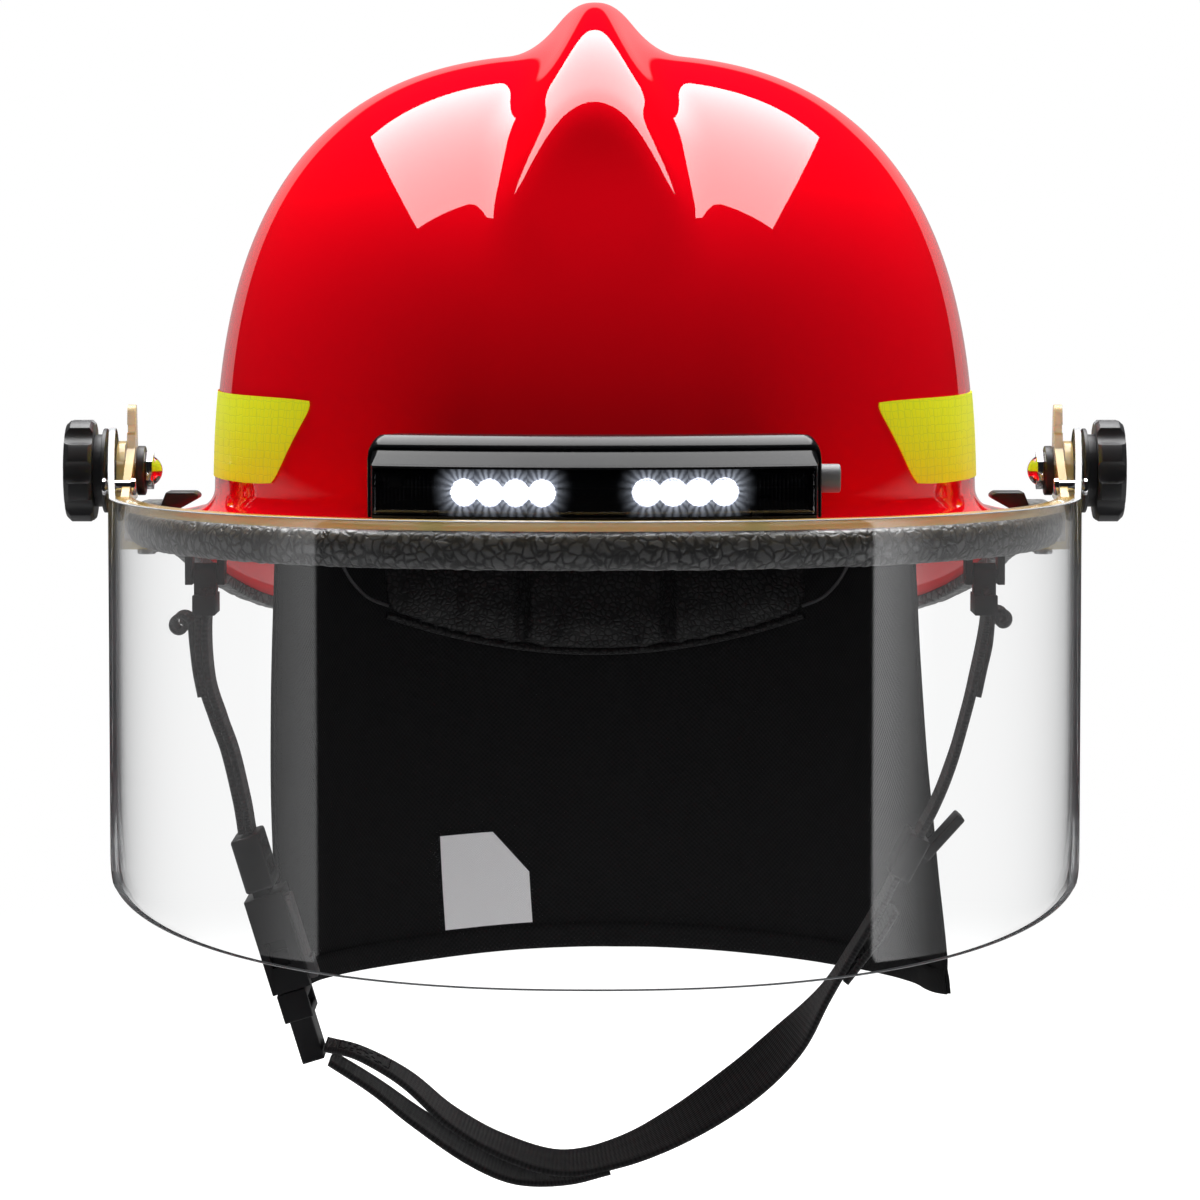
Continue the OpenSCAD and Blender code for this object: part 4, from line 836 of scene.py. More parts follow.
for turned in (0, PATCH_STEP):
    for side, word in ((1, "right"), (-1, "left")):
        bm = from_grid(64, 24, patch_place(turned, side), PATCH_SPAN)
        if side > 0:
            bmesh.ops.reverse_faces(bm, faces=bm.faces)
        thicken(bm, -PATCH_T, False)
        place_word = "front" if turned == 0 else "rear"
        stands = ("reflective_patches",) if (turned, side) == (0, 1) else ()
        piece(f"patch_{place_word}_{word}", bm, reflective, HELMET, stands, "reflective", flat_above=50)
print("four patches laid on the shell")

# %% [markdown]
# ## Clear shield
# The shield is one flat sheet bent round the brim. It starts here as a fine grid on
# that curve. The outline that a cutter would follow, seen from the side, is then cut
# into it line by line, and every face outside the line is thrown away.

# %% Cutting an outline
CUT_MARGIN = 0.6 * MM


def arc(centre, radius, start, end, steps):
    turns = [radians(start + (end - start) * k / steps) for k in range(steps + 1)]
    return [(centre[0] + radius * cos(t), centre[1] + radius * sin(t)) for t in turns]


def cut_outline(bm, outline, keep_inside=True):
    """Cut an outline of y and z through a wall, and keep one side of it."""
    for (ya, za), (yb, zb) in zip(outline, outline[1:] + outline[:1]):
        low = (min(ya, yb) * MM - CUT_MARGIN, min(za, zb) * MM - CUT_MARGIN)
        high = (max(ya, yb) * MM + CUT_MARGIN, max(za, zb) * MM + CUT_MARGIN)
        near = []
        for face in bm.faces:
            ys, zs = [v.co.y for v in face.verts], [v.co.z for v in face.verts]
            if max(ys) > low[0] and min(ys) < high[0] and max(zs) > low[1] and min(zs) < high[1]:
                near.append(face)
        parts = set(near) | {e for f in near for e in f.edges} | {v for f in near for v in f.verts}
        bmesh.ops.bisect_plane(bm, geom=list(parts), dist=1e-7, plane_co=(0, ya * MM, za * MM),
                               plane_no=(0, zb - za, ya - yb))
    gone = [f for f in bm.faces if inside(outline, f.calc_center_median()) != keep_inside]
    bmesh.ops.delete(bm, geom=gone, context="FACES")


def inside(outline, point):
    y, z, crossings = point.y / MM, point.z / MM, 0
    for (ya, za), (yb, zb) in zip(outline, outline[1:] + outline[:1]):
        if (za > z) != (zb > z) and y < ya + (z - za) * (yb - ya) / (zb - za):
            crossings += 1
    return crossings % 2 == 1


print("outlines are cut with a margin of", CUT_MARGIN / MM, "mm")

# %% [markdown]
# The bent sheet clears the brim by the same distance all round. Its outline has a
# straight foot, a large corner at each side and an ear that rises to the pivot, with
# one hole for the bolt and one for the rivet.

# %% Shield sheet
LENS_CLEARS, LENS_T, LENS_STARTS, LENS_SWEEP = 6.1, 2.0, -182, 184
LENS_A, LENS_F, LENS_R = EDGE_A + LENS_CLEARS, EDGE_F + LENS_CLEARS, EDGE_R + LENS_CLEARS
PIVOT_Y, PIVOT_Z, RIVET_Y, RIVET_Z = -15.0, 19.0, -34.0, 15.0
BAR_TOP, LENS_FOOT, LENS_LOW, LENS_TALL, BOLT_HOLE, RIVET_HOLE = 12.2, -118.4, -122, 158, 3.06, 2.06


def lens_place(u, v):
    az = radians(LENS_STARTS + LENS_SWEEP * u)
    q = oval_r(az, LENS_A, LENS_F, LENS_R, EDGE_N)
    return polar(q, az, LENS_LOW + LENS_TALL * v)


shield_line = [(-200, BAR_TOP), (-46, BAR_TOP)] + arc((PIVOT_Y, PIVOT_Z), 13, 130, -20, 18)
shield_line += arc((-62, -51), 52, 0, -90, 18) + [(-200, LENS_FOOT)]
shield_line.insert(2 + 19, (-10, -10))
bm = from_grid(260, 24, lens_place, (0.7, 0.158))
cut_outline(bm, shield_line)
cut_outline(bm, arc((PIVOT_Y, PIVOT_Z), BOLT_HOLE, 345, 0, 23), False)
cut_outline(bm, arc((RIVET_Y, RIVET_Z), RIVET_HOLE, 345, 0, 23), False)
bmesh.ops.recalc_face_normals(bm, faces=bm.faces)
for face in bm.faces:
    if face.normal.dot(face.calc_center_median()) < 0:
        face.normal_flip()
thicken(bm, -LENS_T, False)
bm.normal_update()
print("shield cut to", len(bm.faces), "faces")

# %% [markdown]
# A cut edge is a little rounded, and it looks grey because it is seen end on. Its
# faces are those that don't look along the bent sheet's own normal. They get a second
# finish, and the corner between the two is beveled.

# %% Cut edge of the shield
def faces_outward(face):
    c = face.calc_center_median() / MM
    side = 1 if c.x > 0 else -1
    power = EDGE_N - 1
    flat = Vector((abs(c.x) ** power / LENS_A ** EDGE_N * side, -abs(c.y) ** power / LENS_F ** EDGE_N, 0))
    return abs(face.normal.dot(flat.normalized())) > 0.7


rim = [f for f in bm.faces if not faces_outward(f)]
for face in rim:
    face.material_index = 1
edges = [e for e in bm.edges if len({f.material_index for f in e.link_faces}) == 2]
bmesh.ops.bevel(bm, geom=edges, offset=0.3 * MM, segments=2, affect="EDGES", profile=0.5, material=1)
lens = piece("clear_shield", bm, lens_clear, VISOR, ("visor_lens",), "clear_lens", flat_above=30)
lens.data.materials.append(lens_edge.material)
print("shield has", len(lens.data.polygons), "faces,", len(rim), "on its cut edge")

# %% [markdown]
# ## Hard parts
# Bolts, knobs, plates and clips keep the shape of their CAD solids. Each is copied,
# its flat facets are joined again, and its sharp edges are rounded as a mould or a
# deburring wheel rounds them, because a rounded edge catches a line of light.

# %% Hard parts
HARD = {
    black_plastic: {
        "suspension_clips": 0.5, "headband": 0.35, "ratchet_housing": 0.8, "ratchet_knob": 0.5,
        "pivot_washer_left": 0.4, "pivot_washer_right": 0.4, "knob_left": 0.6, "knob_right": 0.6,
        "knob_hub_left": 0.3, "knob_hub_right": 0.3, "brim_clip_left": 0.5, "brim_clip_right": 0.5,
        "strap_hanger_left": 0.4, "strap_hanger_right": 0.4, "buckle_ladder": 0.8, "buckle_socket": 0.9,
        "buckle_tongue": 0.6, "strap_adjuster": 0.6,
    },
    grey_plastic: {"ratchet_pinion": 0.15, "rack_left": 0.15, "rack_right": 0.15, "light_button": 0.6},
    lever_grey: {"buckle_lever": 0.7},
    amber: {"visor_hoop": 0.4, "visor_bracket_left": 0.5, "visor_bracket_right": 0.5},
    chrome: {"hoop_rivets": 0.4, "dome_nut_left": 0.3, "dome_nut_right": 0.3, "hang_ring": 0.5},
    steel: {
        "bracket_screws": 0.4, "pivot_bolt_left": 0.4, "pivot_bolt_right": 0.4, "light_screws": 0.4,
        "hang_bracket": 0.4,
    },
    liner_foam: {"impact_liner": 1.2},
    board_black: {"led_board": 0.1},
    cell_sleeve: {"light_batteries": 0.8},
}
for finish, parts in HARD.items():
    for node, bevel in parts.items():
        softened(node, finish, bevel)
print("hard parts softened:", sum(len(parts) for parts in HARD.values()))

# %% [markdown]
# ## Neck curtain
# The curtain is one piece of flame resistant cloth that hangs from the liner, from
# one temple round the back to the other. It is cut with a little more width at the
# hem than at the top, so the spare cloth stands in soft folds that grow downwards.

# %% Curtain shape
CURTAIN_X, CURTAIN_REAR, CURTAIN_F, CURTAIN_T = HALF_W - 16, REAR - 12, 60.0, 1.2
CURTAIN_TOP, CURTAIN_DROP, CURTAIN_TALL, CURTAIN_STARTS, CURTAIN_SWEEP = -3.0, 150.0, 0.147, -10, 200
CURTAIN_FLARE, CURTAIN_SWAY, FOLDS, FOLD_DEPTH, HEM_RISE, HEM_WAVE = 7, 6, 4.5, 3.2, 4, 2
BILLOW, SMALL_BILLOW, BILLOW_FINE = 0.9, 0.45, 0.03
CURTAIN_FROM = (degrees(asin(24 / CURTAIN_X)) - CURTAIN_STARTS) / CURTAIN_SWEEP


def curtain_plan(s, v):
    az, turn = radians(CURTAIN_STARTS + CURTAIN_SWEEP * s), 2 * pi * s
    fold = FOLD_DEPTH * v * sin(FOLDS * turn) * (0.6 + 0.4 * cos(turn))
    flare = CURTAIN_FLARE * v
    q = oval_r(az, CURTAIN_X + flare, CURTAIN_F, CURTAIN_REAR + flare, 2.5) + fold
    return Vector((q * cos(az) + CURTAIN_SWAY * v * v, max(q * sin(az), -5)))


def curtain_side(s, v):
    """The direction along the cloth."""
    return (curtain_plan(s + 0.002, v) - curtain_plan(s - 0.002, v)).normalized()


def curtain_at(s, v, off=0.0):
    """A point of the cloth; off is counted out from its middle, away from the head."""
    here = curtain_plan(s, v)
    side = curtain_side(s, v)
    low = -CURTAIN_DROP + HEM_RISE * (2 * s - 1) ** 2 + HEM_WAVE * cos(4 * pi * s)
    spot = Vector((here.x, here.y, 60 * v)) * BILLOW_FINE
    off += v * (BILLOW * noise.noise(spot) + SMALL_BILLOW * noise.noise(2.7 * spot))
    return Vector((here.x + side.y * off, here.y - side.x * off, CURTAIN_TOP + (low - CURTAIN_TOP) * v)) * MM


def curtain_share(u):
    return CURTAIN_FROM + (1 - 2 * CURTAIN_FROM) * u


steps = [curtain_at(curtain_share(k / 200), 0.97) for k in range(201)]
HEM_LENGTH = sum((b - a).length for a, b in zip(steps, steps[1:]))
print("hem is", round(HEM_LENGTH * 1000), "mm long")

# %% [markdown]
# Along its lower edge and both sides the cloth is folded over and sewn down, so it
# is thicker there and pulls into small waves between the stitches. A second grid of
# points follows the same surface a little outside it for the turned hem.

# %% Curtain piece
HEM_SHARE, PUCKER_LENGTH, STITCH_COUNT = 0.052, 0.0065, 150


def curtain_place(u, v):
    s = curtain_share(u)
    hem = max(0.0, 1 - abs(v - (1 - HEM_SHARE)) / 0.02)
    pucker = 0.35 * sin(u * HEM_LENGTH / PUCKER_LENGTH * 2 * pi) if v > 1 - HEM_SHARE else 0.0
    return curtain_at(s, v, -0.35 * hem + 0.35 * pucker * (1 - v) / HEM_SHARE)


bm = from_grid(320, 110, curtain_place, (HEM_LENGTH, CURTAIN_TALL))
thicken(bm, 0.5)
curtain = piece("curtain_sheet", bm, curtain_cloth, HELMET, ("neck_curtain",), "curtain_cloth", flat_above=60)
print("curtain has", len(curtain.data.polygons), "faces")


def strip_on_curtain(name, u_range, v_range, off, cols, rows):
    def place(a, b):
        u = u_range[0] + (u_range[1] - u_range[0]) * a
        v = v_range[0] + (v_range[1] - v_range[0]) * b
        crown = 1 - abs(2 * (b if cols > rows else a) - 1) ** 6
        return curtain_at(curtain_share(u), v, off * (0.55 + 0.45 * crown))
    width = abs(u_range[1] - u_range[0]) * HEM_LENGTH
    made = from_grid(cols, rows, place, (width, abs(v_range[1] - v_range[0]) * CURTAIN_TALL))
    thicken(made, 0.5)
    return piece(name, made, curtain_cloth, HELMET, (), "curtain_cloth", flat_above=60)


hem_inner = strip_on_curtain("curtain_hem", (0.0, 1.0), (1.0, 1 - HEM_SHARE), -0.95, 320, 10)
side_right = strip_on_curtain("curtain_side_right", (0.0, 0.028), (0.03, 1.0), -1.0, 6, 90)
side_left = strip_on_curtain("curtain_side_left", (0.972, 1.0), (0.03, 1.0), -1.0, 6, 90)

# %% [markdown]
# Thread holds the hem: short dark stitches a little over two millimetres apart, each
# a small closed bead of thread. They are made in one mesh.

# %% Stitches
thread = moulded("thread", (0.01, 0.01, 0.011), (0.045, 0.045, 0.048), 0.6, 2600, 0.00002)
pale_thread = moulded("pale_thread", (0.3, 0.3, 0.31), (0.42, 0.42, 0.43), 0.6, 2600, 0.00002)


def stitches(name, pairs, radius, finish, body, slot):
    """One bead of thread for each pair of points, as six sided spindles."""
    made = bmesh.new()
    for start, end in pairs:
        run = end - start
        turn = run.to_track_quat("Z", "Y").to_matrix().to_4x4()
        stretch = Matrix.Diagonal((1, 1, run.length / radius / 2, 1))
        where = Matrix.Translation((start + end) / 2) @ turn @ stretch
        bmesh.ops.create_uvsphere(made, u_segments=5, v_segments=4, radius=radius, matrix=where)
    return piece(name, made, finish, body, (), slot)


pairs = []
for k in range(STITCH_COUNT):
    u = (k + 0.25) / STITCH_COUNT
    places = [curtain_share(u + d) for d in (0, 0.5 / STITCH_COUNT)]
    pairs.append([curtain_at(s, 1 - HEM_SHARE + 0.012, -1.15) for s in places])
stitches("hem_stitches", pairs, 0.00032, thread, HELMET, "curtain_cloth")

# %% [markdown]
# The white label is sewn to the inner face along its top edge only. One upper corner
# is cut off, the lower corner below it curls, and the label carries no writing.

# %% Label
LABEL_S, LABEL_V = (0.556, 0.622), (0.723, 0.939)


def label_place(a, b):
    s = LABEL_S[1] + (LABEL_S[0] - LABEL_S[1]) * a
    v = LABEL_V[0] + (LABEL_V[1] - LABEL_V[0]) * b
    lift = 0.25 + 0.35 * b * b * sin(pi * a) + 0.5 * max(0.0, a + b - 1.55)
    return curtain_at(s, v, -CURTAIN_T / 2 - 0.1 - lift)


bm = from_grid(28, 32, label_place, (0.024, 0.03))
cut_from, cut_to = label_place(0.62, 0.0), label_place(1.0, 0.45)
facing = (label_place(0.7, 0.3) - cut_from).cross(cut_to - cut_from)
outward = (cut_to - cut_from).cross(facing).normalized()
if outward.dot(label_place(1.0, 0.0) - cut_from) < 0:
    outward = -outward
bmesh.ops.bisect_plane(bm, geom=all_of(bm), plane_co=cut_from, plane_no=outward, clear_outer=True)
thicken(bm, 0.25)
label = piece("curtain_label_sheet", bm, label_cloth, HELMET, ("curtain_label",), "label", flat_above=60)
top = [label_place(k / 16, 0.045) for k in range(17)]
stitches("label_stitches", list(zip(top[:10:2], top[1:10:2])), 0.0002, pale_thread, HELMET, "label")

# %% [markdown]
# The cloth is fixed to a strip of hook tape inside the shell. Four short posts
# carry the strip from the liner, as the snaps of the real harness do.

# %% Hook tape
def tape_place(u, v):
    s = curtain_share(0.004 + 0.992 * u)
    base = curtain_plan(s, 0)
    side = curtain_side(s, 0)
    swell = 0.55 * (1 - abs(2 * v - 1) ** 8)
    off = -0.75 - swell
    return Vector((base.x + side.y * off, base.y - side.x * off, CURTAIN_TOP + 0.6 + 8.8 * v)) * MM


bm = from_grid(220, 12, tape_place, (0.4, 0.009))
thicken(bm, 0.3)
softened("curtain_hook_strip", tape_cloth, 0.3, name="hook_tape_posts")
piece("hook_tape_face", bm, tape_cloth, HELMET, (), "hook_tape", flat_above=60)
print("curtain dressed")

# %% [markdown]
# ## Lamp
# The lamp is a gloss black bar, bent to the brim. Its front has a round rim, a
# groove, a sloping band and an upright face, and all four follow the bar's outline
# round its upper corners. So the depth of each point is read from a profile by its
# distance from that outline.

# %% Profile of the lamp
LAMP_R, LAMP_CY, LAMP_Z, LAMP_H, LAMP_HALF = 150.0, -17.0, 11.7, 23.0, 66.7
LAMP_BACK_R, LAMP_BACK_Y = 156.0, 28.0
LAMP_ARC = LAMP_R * asin(LAMP_HALF / LAMP_R)
WINDOW_ARC, WINDOW_LOW, WINDOW_HIGH, CHAMBER_DEPTH = LAMP_ARC - 5.6, 1.0, 14.0, 8.2
CORNER, SIDE_SHARE, FACE_LEVEL = 7.0, 0.7, 8.7
RIM_PROFILE = [(0, 9.2), (0.18, 8.7), (0.5, 8.0), (1.1, 6.95), (1.8, 5.95), (2.5, 5.1), (3, 4.72), (3.4, 4.6)]
RIM_PROFILE += [(3.7, 5.3), (4.1, 4.7), (5.5, 3.2), (8.1, 0.35), (8.35, 0.1), (FACE_LEVEL, 0)]


def through(points, t):
    """The value at t of a line through points."""
    for (ta, a), (tb, b) in zip(points, points[1:]):
        if t <= tb:
            return a + (b - a) * max(0.0, t - ta) / (tb - ta)
    return points[-1][1]


def on_lamp(arc_x, z, inset):
    turn, r = arc_x / LAMP_R, LAMP_R - inset
    return Vector((r * sin(turn), LAMP_CY - r * cos(turn), LAMP_Z + z)) * MM


def lamp_back_inset(arc_x):
    c = cos(arc_x / LAMP_R)
    return LAMP_R + LAMP_BACK_Y * c - sqrt(LAMP_BACK_R ** 2 - LAMP_BACK_Y ** 2 * (1 - c * c))


def level_z(side, level):
    """Height at which a column, this far from the end, is a level away from the outline."""
    if side >= CORNER:
        return LAMP_H - level
    if level < side:
        return LAMP_H - CORNER + sqrt((CORNER - level) ** 2 - (CORNER - side) ** 2)
    low = WINDOW_HIGH + 0.3
    return LAMP_H - CORNER - (LAMP_H - CORNER - low) * (level - side) / (FACE_LEVEL - side)


def lamp_inset(side, z):
    top = LAMP_H - z
    near = CORNER - hypot(CORNER - side, CORNER - top) if max(side, top) < CORNER else min(side, top)
    return through(RIM_PROFILE, near)


print("rim profile has", len(RIM_PROFILE), "points")

# %% [markdown]
# Columns and rows are placed where the profile turns, so that its edges stay crisp
# with few faces. Each column is a ring of points: up the front, over the top and down
# the back. The window's recess is two rows and two columns that are doubled, once at
# the face and once sunk.

# %% Lamp body
levels = [level for level, _ in RIM_PROFILE]
half_columns = [(LAMP_ARC - SIDE_SHARE * level, False) for level in levels[1:]]
half_columns += [(WINDOW_ARC, False), (WINDOW_ARC, True)]
half_columns += [(WINDOW_ARC * (1 - k / 30), True) for k in range(1, 31)]
half_columns = sorted(half_columns, key=lambda c: (-c[0], c[1]))
half_columns = [(LAMP_ARC, False)] + half_columns
lamp_columns = [(-x, o) for x, o in half_columns] + [(x, o) for x, o in reversed(half_columns[:-1])]


def lamp_ring(arc_x, is_open):
    side = (LAMP_ARC - abs(arc_x)) / SIDE_SHARE
    deep = CHAMBER_DEPTH if is_open else 0.0
    ring = [(0.0, lamp_inset(side, 4) + 0.4), (0.4, lamp_inset(side, 4)), (WINDOW_LOW, lamp_inset(side, 4))]
    for z in (WINDOW_LOW, WINDOW_HIGH):
        ring.append((z, max(deep, lamp_inset(side, z))))
    ring.append((WINDOW_HIGH, lamp_inset(side, WINDOW_HIGH)))
    for level in reversed(levels):
        z = level_z(side, level)
        ring.append((z, lamp_inset(side, z)))
    back, top = lamp_back_inset(arc_x), level_z(side, 0)
    return ring + [(top, back - 0.8), (top - 0.8, back), (0.8, back), (0, back - 0.8)]


rings = [lamp_ring(x, o) for x, o in lamp_columns]
LAMP_ROWS = len(rings[0])


def lamp_place(u, v):
    i, k = round(u * (len(rings) - 1)), round(v * LAMP_ROWS) % LAMP_ROWS
    return on_lamp(lamp_columns[i][0], *rings[i][k])


bm = from_grid(len(rings) - 1, LAMP_ROWS, lamp_place, merge=0.000002)
close_ends(bm)
piece("lamp_body", bm, gloss_black, HELMET, ("light_housing",), "gloss_black", flat_above=24)
print("lamp body:", len(rings), "columns of", LAMP_ROWS, "points")

# %% [markdown]
# Behind the window sit two groups of four diodes, each under a small dome. The domes
# shine white in their middle and a little bluer towards their sides.

# %% Diodes
LED_FIRST, LED_PITCH, LED_HIGH, LED_COUNT, LED_INSET, LED_R = 14.7, 7.4, 7.5, 4, 4.6, 3.3
led_white = Finish("led_white", {"Emission Strength": 9.0, "Roughness": 0.3,
                                 "Base Color": rgb(0.8, 0.8, 0.8)})
led_facing = led_white.node("LayerWeight", inputs={"Blend": 0.3}, output="Facing")
led_white.set({"Emission Color": led_white.mix(led_facing, WHITE, rgb(0.72, 0.82, 1))})

bm = bmesh.new()
for side in (-1, 1):
    for k in range(LED_COUNT):
        x = side * (LED_FIRST + k * LED_PITCH)
        spot, turn = on_lamp(x, LED_HIGH, LED_INSET), Matrix.Rotation(x / LAMP_R, 4, "Z")
        flat = Matrix.Diagonal((1, 0.5, 1, 1))
        bmesh.ops.create_uvsphere(bm, u_segments=24, v_segments=12, radius=LED_R * MM,
                                  matrix=Matrix.Translation(spot) @ turn @ flat)
piece("diode_domes", bm, led_white, HELMET, ("light_leds",), "led")
print("diodes:", 2 * LED_COUNT)

# %% [markdown]
# Round the diodes lies a bright reflector with a cup for each, and a ribbed black
# panel fills either end of the window. The cups are one sheet whose depth is read
# from the distance to the nearest diode, so that none has to be cut out.

# %% Cups and ribbed panels
CUPS_FROM, CUPS_WIDE, CUPS_LOW, CUPS_TALL, CUP_T = 10.2, 34, 2.1, 11.3, 0.4
CUP_FLOOR, CUP_DEPTH, CUP_R, CUP_WALL = 6.0, 3.0, 3.1, 1.1
RIBBED_X, RIBBED_HALF, RIBBED_HALF_H, RIBS, RIB_DEPTH = 53.8, 9.0, 5.6, 15, 0.28
cup_metal = metal("cup_metal", (0.62, 0.64, 0.68), 0.16)
ribbed_black = moulded("ribbed_black", (0.006, 0.006, 0.007), (0.014, 0.014, 0.015), 0.2, 900, 0.00001)


def near_diode(x):
    k = min(max(round((abs(x) - LED_FIRST) / LED_PITCH), 0), LED_COUNT - 1)
    return abs(x) - (LED_FIRST + k * LED_PITCH)


def cup_place(side):
    def place(u, v):
        x, z = side * (CUPS_FROM + CUPS_WIDE * u), CUPS_LOW + CUPS_TALL * v
        away = hypot(near_diode(x), z - LED_HIGH)
        return on_lamp(x, z, CUP_FLOOR - CUP_DEPTH * ease((away - CUP_R) / CUP_WALL))
    return place


def panel_place(side):
    def place(u, v):
        a, b = pillow(u, v, 0.09, 0.12)
        border = max(abs(a), abs(b))
        rib = RIB_DEPTH * abs(sin(pi * RIBS * u)) * (border < 0.9)
        inset = 2.2 - (0.8 if border > 0.93 else 0.0) - rib
        return on_lamp(side * (RIBBED_X + RIBBED_HALF * a), LED_HIGH + RIBBED_HALF_H * b, inset)
    return place


for side, word in ((1, "right"), (-1, "left")):
    for name, place, size, finish in (
        ("diode_cups_", cup_place(side), (120, 40), cup_metal),
        ("ribbed_panel_", panel_place(side), (150, 30), ribbed_black),
    ):
        bm = from_grid(*size, place)
        if side < 0:
            bmesh.ops.reverse_faces(bm, faces=bm.faces)
        thicken(bm, -CUP_T, False)
        piece(name + word, bm, finish, HELMET, (), "gloss_black", flat_above=35)
print("cups are", CUP_DEPTH, "mm deep")

# %% [markdown]
# The window is one bent strip of smoky plastic over all of this. The strong light
# of each diode scatters in it, so round every diode the window itself shines, with
# fine rays. That is a mix of the clear sheet and a light, by the distance to the
# nearest diode on the window's own UV map.

# %% Lamp window
WINDOW_T, WINDOW_EDGE, GLOW_REACH, GLOW_RAYS = 1.2, 0.5, 9.5, 17.0


def scattered_light(finish, clear):
    along, up, _ = finish.axes("UV")
    x = (along - WINDOW_ARC * MM).size() - LED_FIRST * MM
    step = LED_PITCH * MM
    k = finish.node("Clamp", inputs={0: (x / step).maths("ROUND", x / step), 2: LED_COUNT - 1.0})
    dx, dz = x - k * step, up - (LED_HIGH - WINDOW_LOW - 0.1) * MM
    away = (dx * dx + dz * dz) ** 0.5
    turn = dz.maths("ARCTAN2", dz, dx)
    rays = 0.6 + 0.4 * (turn * GLOW_RAYS + 3.0 * finish.cloud(900, 1)).sin()
    near = 1.0 - away / (GLOW_REACH * MM)
    near = near.maths("MAXIMUM", near, 0.0)
    shine = finish.node("Emission", inputs={"Color": rgb(0.8, 0.87, 1), "Strength": 1.5})
    return finish.blend((near ** 2.6) * rays * 0.8, clear, shine)


lamp_window = clear_sheet("lamp_window", (0.5, 0.5, 0.53), mirror=1.2, lit_by=scattered_light)


def window_place(u, v):
    a, b = 2 * u - 1, 2 * v - 1
    edge = max(abs(a) ** 60, abs(b) ** 14)
    z = (WINDOW_LOW + WINDOW_HIGH) / 2 + (WINDOW_HIGH - WINDOW_LOW - 0.2) / 2 * b
    return on_lamp((WINDOW_ARC - 0.1) * a, z, 0.05 + WINDOW_EDGE * edge)


bm = from_grid(180, 22, window_place, (2 * WINDOW_ARC * MM, 0.0128))
thicken(bm, -WINDOW_T, False)
piece("lamp_window_sheet", bm, lamp_window, HELMET, ("light_lens",), "smoked_lens", flat_above=40)
print("lamp window fitted")

# %% [markdown]
# ## Webbing
# All straps are woven tape. A strap is made from frames along its route: a point,
# the direction across the tape and the direction out of its face. A curve with a
# bevel could make one too, but frames say how far it is twisted at every point.

# %% Frames of a strap
STRAP_W, STRAP_T, HANG_Y = 19.0, 2.0, 8.0


def curve_through(points, steps=10):
    """A smooth curve through route points, close together."""
    rows = [Vector(p) for p in points]
    rows = [2 * rows[0] - rows[1]] + rows + [2 * rows[-1] - rows[-2]]
    line = []
    for a, b, c, d in zip(rows, rows[1:], rows[2:], rows[3:]):
        for j in range(steps):
            t = j / steps
            line.append(0.5 * (2 * b + (c - a) * t + (2 * a - 5 * b + 4 * c - d) * t * t
                               + (3 * b - a - 3 * c + d) * t ** 3))
    return line + [rows[-2]]


def heading(line, i):
    """From the point before to the point after."""
    return line[min(i + 1, len(line) - 1)] - line[max(i - 1, 0)]


def strap_frames(route, twist=None, steps=10):
    """Frames of a strap that lies in a plane of x and z, turned about its own line."""
    line = curve_through([(x, z, t) for (x, z), t in zip(route, twist or [0] * len(route))], steps)
    frames = []
    for i, (x, z, turn) in enumerate(line):
        ahead = heading(line, i)
        h = Vector((ahead.x, 0, ahead.y)).normalized()
        n = Vector((-h.z, 0, h.x))
        c, s = cos(radians(turn)), sin(radians(turn))
        across = n * s + Vector((0, c, 0))
        frames.append((Vector((x, -HANG_Y, z)), across, n * c - Vector((0, s, 0))))
    return frames


print("straps are", STRAP_W, "mm wide and hang", HANG_Y, "mm in front of the middle")

# %% [markdown]
# One outline of the tape, with round selvedges that are a little thicker, is set on
# every frame. Where two layers lie on each other they are sewn with a box and a
# cross, the seam of safety harnesses.

# %% Tape and seams
STITCH_STEP, STITCH_SHARE, SEWN_SHARE = 0.0028, 0.62, 0.36


def web_outline(thick):
    flat, r = STRAP_W / 2 - 0.55 * thick, thick / 2
    half = [(flat * (1 - k / 6), r * (0.93 + 0.14 * abs(1 - k / 6) ** 6)) for k in range(13)]
    for k in range(1, 6):
        turn = radians(30 * k)
        half.append((-flat - 0.55 * thick * sin(turn), 1.07 * r * cos(turn)))
    return half + [(-a, -b) for a, b in half]


def tape_piece(name, frames, finish, body, stands_for=(), slot="webbing", thick=STRAP_T):
    outline = web_outline(thick)
    last, around = len(frames) - 1, len(outline)
    length = sum((b[0] - a[0]).length for a, b in zip(frames, frames[1:]))

    def place(u, v):
        spot, across, out = frames[round(u * last)]
        a, b = outline[round(v * around) % around]
        ripple = 0.1 * noise.noise(spot * 0.09 + Vector((0, 0.3 * a, 0)))
        return (spot + across * a + out * (b + ripple)) * MM

    bm = from_grid(last, around, place, (length * MM, 2 * (STRAP_W + thick) * MM), merge=0.000002)
    close_ends(bm)
    return piece(name, bm, finish, body, stands_for, slot, flat_above=60)


def sewn_box(name, frames, ends, height, body, slot="webbing"):
    """A box of stitches with a cross in it, on the face of a tape."""
    first, last = ends
    across = STRAP_W * SEWN_SHARE

    def spot(t, a):
        i = min(max(first + (last - first) * t, 0), len(frames) - 1)
        low, share = int(i), i - int(i)
        near, far = frames[low], frames[min(low + 1, len(frames) - 1)]
        point, side, out = (near[k].lerp(far[k], share) for k in range(3))
        return (point + side * a * across + out * height) * MM

    corners = [(0, -1), (0, 1), (1, 1), (1, -1), (0, -1), (1, 1), (1, -1), (0, 1)]
    pairs = []
    for (ta, a), (tb, b) in zip(corners, corners[1:]):
        run = (spot(tb, b) - spot(ta, a)).length
        count = max(2, round(run / STITCH_STEP))
        for k in range(count):
            shares = (k / count, (k + STITCH_SHARE) / count)
            pairs.append([spot(ta + (tb - ta) * q, a + (b - a) * q) for q in shares])
    return stitches(name, pairs, 0.0003, thread, body, slot)


